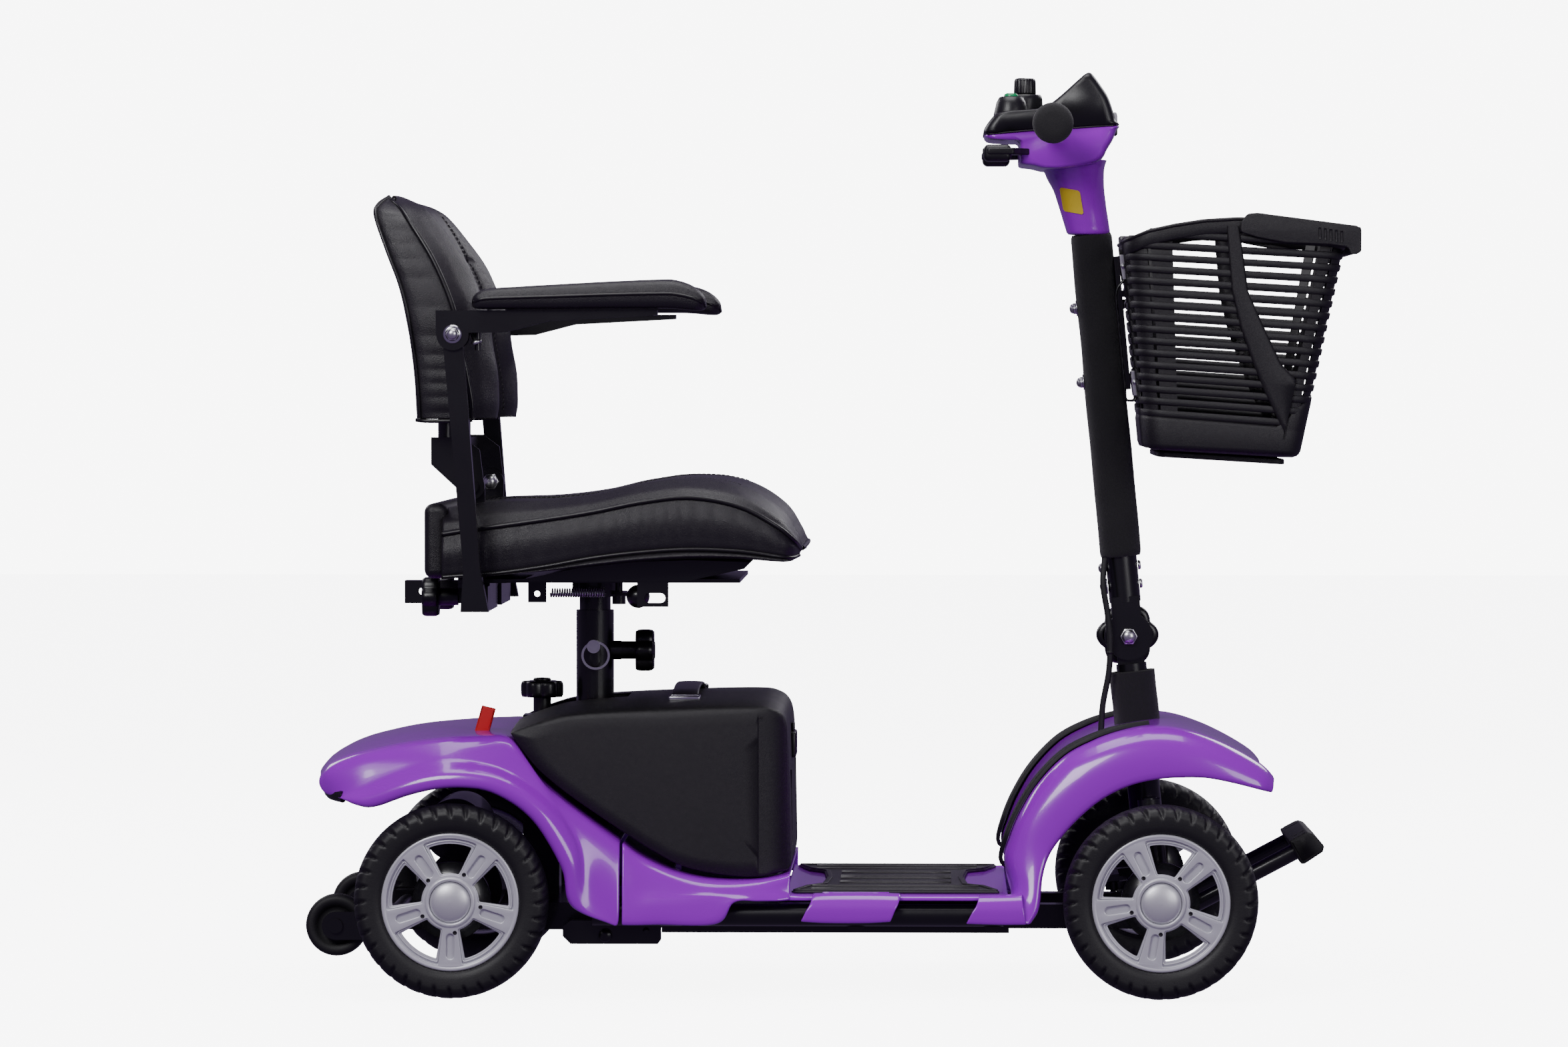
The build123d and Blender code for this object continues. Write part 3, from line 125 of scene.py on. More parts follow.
def resample(pts, n, smooth=True):
    """n points evenly along a Catmull-Rom curve through pts."""
    p = np.array(pts, float)
    if smooth and len(p) > 2:
        q = np.vstack([2 * p[0] - p[1], p, 2 * p[-1] - p[-2]])
        out = []
        for i in range(1, len(q) - 2):
            t = np.linspace(0, 1, 24, endpoint=False)[:, None]
            a, b, c, d = q[i - 1], q[i], q[i + 1], q[i + 2]
            out.append(0.5 * (2 * b + (c - a) * t + (2 * a - 5 * b + 4 * c - d) * t**2 + (3 * b - a - 3 * c + d) * t**3))
        p = np.vstack(out + [p[-1:]])
    s = np.concatenate([[0], np.cumsum(np.linalg.norm(np.diff(p, axis=0), axis=1))])
    t = np.linspace(0, s[-1], n)
    return np.column_stack([np.interp(t, s, p[:, k]) for k in range(p.shape[1])])


def loft(name, rows, closed_u=False, closed_v=False, cap=False):
    """A grid surface through equal-length rows of points."""
    n = len(rows[0])
    vs = [tuple(p) for r in rows for p in r]
    fs = []
    nr = len(rows)
    for i in range(nr if closed_u else nr - 1):
        for j in range(n if closed_v else n - 1):
            a, b = i * n + j, i * n + (j + 1) % n
            c, d = ((i + 1) % nr) * n + (j + 1) % n, ((i + 1) % nr) * n + j
            fs.append((a, b, c, d))
    if cap:
        fs.append(tuple(range(n)))
        fs.append(tuple((nr - 1) * n + j for j in reversed(range(n))))
    return mesh(name, vs, fs)


def tube(name, pts, r, n=60, sides=14, smooth=True, closed=False, flat=1.0):
    """A round bar along pts, in millimetres. r may be a number or a list along the curve."""
    p = resample(pts, n, smooth)
    rr = np.interp(np.linspace(0, 1, n), np.linspace(0, 1, len(r)), r) if hasattr(r, "__len__") else np.full(n, r)
    t = np.gradient(p, axis=0)
    t /= np.linalg.norm(t, axis=1)[:, None]
    up = np.array([0, 0, 1.0]) if abs(t[0][2]) < 0.9 else np.array([0, 1.0, 0])
    u = np.cross(t[0], up)
    u /= np.linalg.norm(u)
    rows = []
    for i in range(n):
        u = u - t[i] * (u @ t[i])
        u /= np.linalg.norm(u)
        v = np.cross(t[i], u)
        a = np.linspace(0, TAU, sides, endpoint=False)
        rows.append(p[i] + rr[i] * (np.cos(a)[:, None] * u + flat * np.sin(a)[:, None] * v))
    return loft(name, rows, closed_u=closed, closed_v=True, cap=not closed)


def lathe(name, prof, centre, axis=(0, 1, 0), n=64, closed=False):
    """Revolves (r, h) pairs about an axis through centre."""
    ax = np.array(axis, float)
    ax /= np.linalg.norm(ax)
    u = np.cross(ax, (0, 0, 1.0) if abs(ax[2]) < 0.9 else (1.0, 0, 0))
    u /= np.linalg.norm(u)
    v = np.cross(ax, u)
    c = np.array(centre, float)
    rows = []
    for k in range(n):
        a = TAU * k / n
        d = math.cos(a) * u + math.sin(a) * v
        rows.append([c + r * d + h * ax for r, h in prof])
    o = loft(name, rows, closed_u=True, closed_v=closed)
    return o


def recalc(o):
    import bmesh

    bm = bmesh.new()
    bm.from_mesh(o.data)
    bmesh.ops.remove_doubles(bm, verts=bm.verts, dist=2e-6)
    bmesh.ops.recalc_face_normals(bm, faces=bm.faces)
    bm.to_mesh(o.data)
    bm.free()
    return o


def box(name, lo, hi, bevel=1.0, seg=3):
    (x0, y0, z0), (x1, y1, z1) = lo, hi
    v = [(x0, y0, z0), (x1, y0, z0), (x1, y1, z0), (x0, y1, z0), (x0, y0, z1), (x1, y0, z1), (x1, y1, z1), (x0, y1, z1)]
    f = [(0, 3, 2, 1), (4, 5, 6, 7), (0, 1, 5, 4), (1, 2, 6, 5), (2, 3, 7, 6), (3, 0, 4, 7)]
    o = mesh(name, v, f, smooth=False)
    if bevel:
        mod(o, "BEVEL", width=bevel * MM, segments=seg, limit_method="NONE")
        o = apply(o)
        o.data.polygons.foreach_set("use_smooth", [True] * len(o.data.polygons))
        mod(o, "WEIGHTED_NORMAL", keep_sharp=True)
        o = apply(o)
    return o


def plate(name, outlines, y0, y1, bevel=0.8, seg=3, frame_of=None, smooth_pts=0):
    """A flat plate cut from closed outlines (the first is the edge, the others are holes), drawn in XZ and thick from y0 to y1.
    frame_of maps (a, b, depth) to x, y, z and replaces the XZ drawing plane."""
    cu = bpy.data.curves.new(name, "CURVE")
    cu.dimensions = "2D"
    cu.fill_mode = "BOTH"
    depth = abs(y1 - y0)
    cu.extrude = max(0.0, depth / 2 - bevel) * MM
    cu.bevel_depth = bevel * MM
    cu.bevel_resolution = seg
    cu.offset = -bevel * MM
    for pts in outlines:
        if smooth_pts:
            pts = resample(list(pts) + [pts[0]], smooth_pts + 1)[:-1]
        sp = cu.splines.new("POLY")
        sp.points.add(len(pts) - 1)
        for q, (a, b) in zip(sp.points, pts):
            q.co = (a * MM, b * MM, 0, 1)
        sp.use_cyclic_u = True
    o = apply(link(bpy.data.objects.new(name, cu)))
    mid = (y0 + y1) / 2
    co = np.array([v.co for v in o.data.vertices]).reshape(-1, 3) / MM
    if frame_of is None:
        new = np.column_stack([co[:, 0], mid - co[:, 2], co[:, 1]])
    else:
        new = np.array([frame_of(a, b, mid + c) for a, b, c in co])
    o.data.vertices.foreach_set("co", (new * MM).astype(np.float32).ravel())
    o.data.update()
    recalc(o)
    o.data.polygons.foreach_set("use_smooth", [True] * len(o.data.polygons))
    o.data.set_sharp_from_angle(angle=math.radians(35))
    return o


def arc(cx, cy, r, a0, a1, n=24):
    return [(cx + r * math.cos(math.radians(a)), cy + r * math.sin(math.radians(a))) for a in np.linspace(a0, a1, n)]


def circle(cx, cy, r, n=48):
    return [(cx + r * math.cos(TAU * k / n), cy + r * math.sin(TAU * k / n)) for k in range(n)]


def slot_shape(cx, cy, length, width, ang, n=10):
    a = math.radians(ang)
    u, v = (math.cos(a), math.sin(a)), (-math.sin(a), math.cos(a))
    h, r = (length - width) / 2, width / 2
    pts = [(h + r * math.cos(t), r * math.sin(t)) for t in np.linspace(-math.pi / 2, math.pi / 2, n)]
    pts += [(-h + r * math.cos(t), r * math.sin(t)) for t in np.linspace(math.pi / 2, 1.5 * math.pi, n)]
    return [(cx + p * u[0] + q * v[0], cy + p * u[1] + q * v[1]) for p, q in pts]


def rounded(pts, r, n=6):
    """Rounds the corners of a closed outline. r may be a list."""
    out = []
    m = len(pts)
    for i in range(m):
        p, a, b = np.array(pts[i], float), np.array(pts[i - 1], float), np.array(pts[(i + 1) % m], float)
        rr = r[i] if hasattr(r, "__len__") else r
        u, v = (a - p), (b - p)
        lu, lv = np.linalg.norm(u), np.linalg.norm(v)
        u, v = u / lu, v / lv
        cosang = float(np.clip(u @ v, -1, 1))
        half = math.acos(cosang) / 2
        if rr <= 0 or half > 1.55:
            out.append(tuple(p))
            continue
        d = min(rr / math.tan(half), lu * 0.48, lv * 0.48)
        s, e = p + u * d, p + v * d
        for t in np.linspace(0, 1, n):
            q = (1 - t) ** 2 * s + 2 * t * (1 - t) * p + t**2 * e
            out.append(tuple(q))
    return out


def mirror_y(o, name):
    """A mirrored copy across Y = 0."""
    m = o.data.copy()
    c = link(bpy.data.objects.new(name, m))
    co = np.array([v.co for v in m.vertices], np.float32).reshape(-1, 3)
    co[:, 1] *= -1
    m.vertices.foreach_set("co", co.ravel())
    m.flip_normals()
    m.update()
    return c


def lobed(name, centre, axis, r, lobes, thick, lobe_r=None):
    """A star knob: a disc with rounded lobes, its bottom face at centre."""
    ax = Vector(axis).normalized()
    q = ax.to_track_quat("Z", "Y").to_matrix()
    n = 96
    prof = []
    for k in range(n):
        a = TAU * k / n
        s = 0.5 + 0.5 * math.cos(lobes * a)
        prof.append(r * (0.84 + 0.16 * s**0.55))
    rows = []
    for h, sc in ((0, 0.80), (0, 0.93), (thick * 0.12, 0.985), (thick * 0.3, 1.0), (thick * 0.72, 1.0), (thick * 0.9, 0.975), (thick, 0.9), (thick, 0.6), (thick * 0.93, 0.5)):
        row = []
        for k in range(n):
            a = TAU * k / n
            rr = prof[k] * sc
            p = q @ Vector((rr * math.cos(a), rr * math.sin(a), h))
            row.append(Vector(centre) + p)
        rows.append(row)
    return loft(name, rows, closed_v=True, cap=True)


def bolt_head(name, c, axis, r, h, socket=True, n=32):
    prof = [(0.001, 0), (r, 0), (r, h * 0.55), (r * 0.93, h * 0.8), (r * 0.75, h)]
    prof += [(r * 0.5, h), (r * 0.45, h * 0.35), (0.001, h * 0.35)] if socket else [(r * 0.4, h * 1.12), (0.001, h * 1.16)]
    return recalc(lathe(name, prof, c, axis, n))


def acorn(name, c, axis, r, h):
    """A domed nut: hexagon base and round dome."""
    ax = Vector(axis).normalized()
    q = ax.to_track_quat("Z", "Y").to_matrix()
    rows = []
    for hh, sc in ((0, 1.1), (h * 0.4, 1.1), (h * 0.45, 1.0)):
        row = []
        for k in range(24):
            a = TAU * k / 24
            hexr = r * sc * math.cos(math.pi / 6) / math.cos((a % (math.pi / 3)) - math.pi / 6)
            row.append(Vector(c) + q @ Vector((hexr * math.cos(a), hexr * math.sin(a), hh)))
        rows.append(row)
    for t in np.linspace(0, 1, 7)[:-1]:
        rr = r * 0.86 * math.cos(t * math.pi / 2)
        row = [Vector(c) + q @ Vector((rr * math.cos(TAU * k / 24), rr * math.sin(TAU * k / 24), h * 0.45 + h * 0.55 * math.sin(t * math.pi / 2))) for k in range(24)]
        rows.append(row)
    return recalc(loft(name, rows, closed_v=True, cap=True))


# ------------------------------------------------------------------ materials
def material(name, color, rough=0.5, metal=0.0, bump=0.0, scale=200.0, rough_var=0.08, col_var=0.06, coat=0.0, detail=4.0, spec=0.5, voronoi=False, big=0.0, big_scale=25.0, sheen=0.0):
    m = bpy.data.materials.new(name)
    m.use_nodes = True
    nt = m.node_tree
    b = nt.nodes["Principled BSDF"]
    b.inputs["Metallic"].default_value = metal
    b.inputs["Specular IOR Level"].default_value = spec
    if coat:
        b.inputs["Coat Weight"].default_value = coat
        b.inputs["Coat Roughness"].default_value = 0.04
    if sheen:
        b.inputs["Sheen Weight"].default_value = sheen
        b.inputs["Sheen Roughness"].default_value = 0.5
    tc = nt.nodes.new("ShaderNodeTexCoord")
    nz = nt.nodes.new("ShaderNodeTexNoise")
    nz.inputs["Scale"].default_value = 14.0
    nz.inputs["Detail"].default_value = 5.0
    nt.links.new(tc.outputs["Object"], nz.inputs["Vector"])
    ramp = nt.nodes.new("ShaderNodeMix")
    ramp.data_type = "RGBA"
    c = np.array(color, float)
    ramp.inputs[6].default_value = (*np.clip(c * (1 - col_var), 0, 1), 1)
    ramp.inputs[7].default_value = (*np.clip(c * (1 + col_var), 0, 1), 1)
    nt.links.new(nz.outputs["Fac"], ramp.inputs[0])
    nt.links.new(ramp.outputs[2], b.inputs["Base Color"])
    mr = nt.nodes.new("ShaderNodeMapRange")
    mr.inputs["To Min"].default_value = max(0.02, rough - rough_var)
    mr.inputs["To Max"].default_value = min(1.0, rough + rough_var)
    nt.links.new(nz.outputs["Fac"], mr.inputs["Value"])
    nt.links.new(mr.outputs["Result"], b.inputs["Roughness"])
    last = None
    if bump:
        if voronoi:
            t = nt.nodes.new("ShaderNodeTexVoronoi")
            t.inputs["Scale"].default_value = scale
            out = t.outputs["Distance"]
        else:
            t = nt.nodes.new("ShaderNodeTexNoise")
            t.inputs["Scale"].default_value = scale
            t.inputs["Detail"].default_value = detail
            out = t.outputs["Fac"]
        nt.links.new(tc.outputs["Object"], t.inputs["Vector"])
        bp = nt.nodes.new("ShaderNodeBump")
        bp.inputs["Strength"].default_value = bump
        bp.inputs["Distance"].default_value = 0.0006
        nt.links.new(out, bp.inputs["Height"])
        last = bp
    if big:
        t2 = nt.nodes.new("ShaderNodeTexNoise")
        t2.inputs["Scale"].default_value = big_scale
        t2.inputs["Detail"].default_value = 2.0
        nt.links.new(tc.outputs["Object"], t2.inputs["Vector"])
        b2 = nt.nodes.new("ShaderNodeBump")
        b2.inputs["Strength"].default_value = big
        b2.inputs["Distance"].default_value = 0.004
        nt.links.new(t2.outputs["Fac"], b2.inputs["Height"])
        if last:
            nt.links.new(last.outputs["Normal"], b2.inputs["Normal"])
        last = b2
    if last:
        nt.links.new(last.outputs["Normal"], b.inputs["Normal"])
    return m


MAT = {
    "purple": material("purple_gloss", (0.34, 0.0008, 0.62), rough=0.2, coat=0.55, rough_var=0.03, col_var=0.03, bump=0.03, scale=60, spec=0.55),
    "frame": material("black_powder_coat", (0.0030, 0.0027, 0.0036), rough=0.30, rough_var=0.06, bump=0.06, scale=900, coat=0.25),
    "plastic": material("black_textured_plastic", (0.0052, 0.0043, 0.0062), rough=0.50, bump=0.55, scale=1500, rough_var=0.07, detail=2.0),
    "satin": material("black_satin_plastic", (0.0058, 0.0052, 0.0070), rough=0.36, bump=0.12, scale=1600, rough_var=0.06),
    "knob": material("black_knob_plastic", (0.0042, 0.0038, 0.0050), rough=0.30, bump=0.08, scale=900),
    "rubber": material("black_rubber", (0.0055, 0.0050, 0.0060), rough=0.62, bump=0.25, scale=900),
    "tyre": material("tyre_rubber", (0.0050, 0.0046, 0.0056), rough=0.52, bump=0.22, scale=700, rough_var=0.12, col_var=0.2),
    "foam": material("foam_sleeve", (0.0035, 0.0030, 0.0042), rough=0.86, bump=0.8, scale=2600, detail=3.0, sheen=0.15, big=0.25, big_scale=16),
    "grip": material("foam_grip", (0.0050, 0.0045, 0.0056), rough=0.8, bump=1.0, scale=1800, sheen=0.2),
    "leather": material("seat_vinyl", (0.0085, 0.0070, 0.0100), rough=0.40, bump=0.42, scale=1100, voronoi=True, rough_var=0.07, col_var=0.1, big=0.10, big_scale=14),
    # a darker copy of the seat vinyl, painted shade for the flap under the backrest
    "leather_dark": material("seat_side_vinyl", (0.0055, 0.0045, 0.0065), rough=0.42, bump=0.42, scale=1100, voronoi=True, rough_var=0.06, big=0.08, big_scale=12),
    "piping": material("seat_piping", (0.0045, 0.0038, 0.0052), rough=0.33, bump=0.2, scale=900),
    "thread": material("seat_thread", (0.014, 0.012, 0.016), rough=0.6, bump=0.4, scale=3000),
    "mat": material("deck_mat_rubber", (0.019, 0.017, 0.020), rough=0.5, bump=0.4, scale=900),
    "steel": material("bright_steel", (0.62, 0.62, 0.64), rough=0.22, metal=1.0, bump=0.05, scale=500),
    "zinc": material("zinc_plate", (0.66, 0.67, 0.66), rough=0.3, metal=1.0, bump=0.1, scale=300),
    "rim": material("wheel_silver", (0.62, 0.62, 0.66), rough=0.36, metal=0.35, bump=0.10, scale=1400, coat=0.3),
    "cap": material("hub_cap_metal", (0.68, 0.68, 0.71), rough=0.40, metal=0.6, bump=0.02, scale=300),
    "red": material("red_plastic", (0.55, 0.012, 0.012), rough=0.3, bump=0.05, scale=500),
    "green": material("green_button", (0.01, 0.26, 0.09), rough=0.25, bump=0.04, scale=500),
    "white": material("white_socket", (0.62, 0.62, 0.64), rough=0.3, bump=0.04, scale=500),
    "cells": material("cell_wrap", (0.10, 0.10, 0.12), rough=0.5, bump=0.2, scale=300),
    "yellow": material("plain_sticker", (0.72, 0.52, 0.03), rough=0.4, bump=0.03, scale=500),
}


def paint(o, m):
    o.data.materials.clear()
    o.data.materials.append(MAT[m])
    return o


def put(o, body, m=None, replaces=()):
    if m:
        paint(o, m)
    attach(o, body)
    for n in replaces:
        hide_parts(n)
    return o


node_look = {
    "black_frame": "frame", "body_purple": "purple", "black_plastic": "plastic", "gloss_black_plastic": "satin",
    "bright_steel": "zinc", "silver_rim": "rim", "tyre_rubber": "tyre", "rubber": "rubber", "foam": "foam",
    "leather": "leather", "red_plastic": "red", "green_plastic": "green", "cell_wrap": "cells",
}
for sp in frame["record"]["subparts"]:
    o = frame["nodes"][sp["node"]]
    paint(o, node_look[sp["material_slot"]])


# ------------------------------------------------------------------ wheels
def tyre(name, cx, cy, body, node, outward):
    seg, lugs = 360, 36
    prof = [(70.2, -19), (71.5, -21.5), (74.5, -23.4), (79, -24.3), (84, -24.8), (88, -25.0), (89.5, -24.9), (92.0, -24.0), (94.6, -22.3), (96.6, -19.6), (98.0, -16), (98.8, -12), (99.2, -9), (99.3, -7.2), (99.6, -3.4), (99.7, 0)]
    prof = prof + [(r, -h) for r, h in reversed(prof[:-1])]
    rows = []
    for k in range(seg):
        row = []
        for r, h in prof:
            side = 1 if h > 0 else -1
            ph = (k / seg * lugs + (0.5 if side > 0 else 0) + abs(h) * 0.022) % 1.0
            drop = 0.0
            ah = abs(h)
            if r > 88.2 and ah > 8:
                g = max(0.0, 1 - abs(ph - 0.5) / 0.13)
                drop = (3.4 if r > 92.5 else 2.2) * min(1.0, g * 2.2)
                n2 = max(0.0, 1 - abs(((ph + 0.5) % 1.0) - 0.5) / 0.05)
                if 13 < ah < 20:
                    drop = max(drop, 1.3 * min(1.0, n2 * 2))
            elif r > 91 and 3 < ah <= 8:
                drop = 1.1
            elif 87 < r <= 92.5:
                g = max(0.0, 1 - abs(ph - 0.5) / 0.11)
                drop = 1.6 * min(1.0, g * 2.0) * (1 if r > 89 else 0.35)
            a = TAU * k / seg
            rr = r - drop
            hh = h - side * drop * (0.55 if r < 97 else 0.0)
            row.append((cx + rr * math.cos(a), cy + hh, 100 + rr * math.sin(a)))
        rows.append(row)
    o = loft(name, rows, closed_u=True)
    inner = lathe(name + "_in", [(70.2, -19), (68, 0), (70.2, 19)], (cx, cy, 100), n=72)
    o = recalc(join(name, [o, inner]))
    return put(o, body, "tyre", [node])


def rim(name, cx, cy, body, node, out, turn):
    """Five spokes with a pill pocket in each, over a deeper plate with smaller windows. Drawn in the wheel's own plane, facing outboard."""

    def place(a, b, depth):
        # a, b in the wheel plane, depth measured outward
        return (cx + a, cy + out * depth, 100 + b)

    def window(half_in, half_out, r0, r1, mid, r=3.0):
        pts = []
        a0, a1 = math.degrees(math.asin(half_in / r0)), math.degrees(math.asin(half_out / r1))
        p = [(r1 * math.cos(math.radians(t)), r1 * math.sin(math.radians(t))) for t in np.linspace(-a1, a1, 14)]
        q = [(r0 * math.cos(math.radians(t)), r0 * math.sin(math.radians(t))) for t in np.linspace(a0, -a0, 6)]
        shape = rounded(p + q, [r] + [0.0] * 12 + [r, r] + [0.0] * 4 + [r])
        c, s = math.cos(math.radians(mid)), math.sin(math.radians(mid))
        return [(x * c - y * s, x * s + y * c) for x, y in shape]

    parts = []
    sp = [turn + 54 + 72 * i for i in range(5)]
    front = [circle(0, 0, 69.8, 120)]
    for i in range(5):
        mid = turn + 90 + 72 * i
        front.append(window(9.5, 27.5, 28.5, 65.0, mid, 3.5))
        front.append(slot_shape(45 * math.cos(math.radians(sp[i])), 45 * math.sin(math.radians(sp[i])), 26, 8.2, sp[i]))
    front.append(circle(0, 0, 21.2, 64))
    parts.append(plate("rf", front, 17.2, 20.6, bevel=0.9, frame_of=place))
    back = [circle(0, 0, 69.8, 120)]
    for i in range(5):
        back.append(window(8.6, 22.0, 29.0, 59.5, turn + 90 + 72 * i, 2.0))
    parts.append(plate("rb", back, 12.0, 17.4, bevel=0.5, frame_of=place))
    for i in range(5):
        mid = turn + 90 + 72 * i
        edge = window(9.1, 25.4, 28.8, 62.5, mid, 2.5)
        ring = [place(a, b, 18.0) for a, b in edge]
        parts.append(tube("re", ring + [ring[0]], 0.9, n=90, sides=6, smooth=False, closed=True))
    # raised ring round the cap, the outer lip and the barrel
    parts.append(lathe("hub", [(21.4, 12), (21.4, 21.6), (22.4, 22.6), (24.4, 22.6), (25.6, 21.4), (26.0, 20.2)], (cx, cy, 100), (0, out, 0), 96))
    parts.append(lathe("lip", [(66.0, 20.4), (68.2, 21.4), (70.0, 21.0), (70.6, 19.0), (70.4, 10), (69.4, -19), (66.5, -20.5), (64.0, -19), (63.6, 0), (63.6, 12.2)], (cx, cy, 100), (0, out, 0), 120))
    parts.append(lathe("barrel", [(15.5, 12.5), (17.0, 5), (17.0, -21), (9.0, -21)], (cx, cy, 100), (0, out, 0), 48))
    o = join(name, parts)
    o = put(o, body, "rim", [node])
    capo = lathe(name + "_cap", [(0.001, 26.2), (5, 26.05), (10, 25.4), (15, 24.0), (18.6, 22.4), (20.6, 20.6), (21.0, 18.5)], (cx, cy, 100), (0, out, 0), 72)
    put(capo, body, "cap")
    holes = []
    for i in range(5):
        a = math.radians(sp[i] + 9)
        c = place(31.5 * math.cos(a), 31.5 * math.sin(a), 20.2)
        holes.append(lathe("h", [(0.001, 0.50), (1.5, 0.50), (1.7, 0.62), (2.1, 0.62), (2.2, 0.3)], c, (0, out, 0), 20))
    h = join(name + "_screws", holes)
    put(h, body, "frame")
    # dark inside face behind the windows
    disc = lathe(name + "_drum", [(17.5, 2.0), (40, 1.0), (40, -12), (17.5, -12)], (cx, cy, 100), (0, out, 0), 48)
    put(disc, body, "frame")
    return o


for end, cx, turn in (("rear", -393.0, 0.0), ("front", 331.0, -10.0)):
    for tag, sgn in (("right", -1), ("left", 1)):
        tyre(f"tyre_{end}_{tag}_look", cx, sgn * 215.0, f"wheel_{end}_{tag}", f"tyre_{end}_{tag}", sgn)
        rim(f"rim_{end}_{tag}_look", cx, sgn * 215.0, f"wheel_{end}_{tag}", f"rim_{end}_{tag}", sgn, turn)

for tag, y in (("right", -149.0), ("left", 149.0)):
    out = -1 if y < 0 else 1
    w = lathe(f"anti_tip_{tag}_look", [(5.2, -12), (9, -12.4), (9.5, -9.0), (20, -8.6), (21, -11.4), (27, -12.4), (30, -11.2), (31.8, -7), (32, 0), (31.8, 7), (30, 11.2), (27, 12.4), (21, 11.4), (20, 8.6), (9.5, 9.0), (9, 12.4), (5.2, 12)], (-516, y, 70), (0, out, 0), 72)
    put(w, f"anti_tip_{tag}", "rubber", [f"anti_tip_wheel_{tag}"])

# ------------------------------------------------------------------ body panels
def panel(name, rows, n=64, thick=2.2, inward=True):
    """A skin lofted through long curves given on the right-hand side."""
    rr = [resample(r, n) for r in rows]
    o = loft(name, rr)
    return o


def both_sides(name, half, thick, body, node, flip=False, subsurf=1, matname="purple", cut=None):
    other = mirror_y(half, name + "_l")
    o = recalc(join(name, [half, other]))
    import bmesh

    bm = bmesh.new()
    bm.from_mesh(o.data)
    bmesh.ops.remove_doubles(bm, verts=bm.verts, dist=3e-4)
    if cut:
        dead = [f for f in bm.faces if cut(*(c / MM for c in f.calc_center_median()))]
        bmesh.ops.delete(bm, geom=dead, context="FACES")
    bmesh.ops.recalc_face_normals(bm, faces=bm.faces)
    up = sum(f.normal.z * f.calc_area() for f in bm.faces)
    if up < 0:
        bmesh.ops.reverse_faces(bm, faces=bm.faces)
    bm.to_mesh(o.data)
    bm.free()
    mod(o, "SOLIDIFY", thickness=thick * MM, offset=-1.0)
    if subsurf:
        mod(o, "SUBSURF", levels=subsurf, render_levels=subsurf)
    o = apply(o)
    o.data.polygons.foreach_set("use_smooth", [True] * len(o.data.polygons))
    return put(o, body, matname, [node] if node else [])


def rows_at(specs):
    """specs: list of (y or list of y, [(x, z), ...]); gives 3-D control rows."""
    out = []
    for y, pts in specs:
        ys = y if hasattr(y, "__len__") else [y] * len(pts)
        yy = np.interp(np.linspace(0, 1, len(pts)), np.linspace(0, 1, len(ys)), ys)
        out.append([(p[0], -yv, p[1]) for p, yv in zip(pts, yy)])
    return out


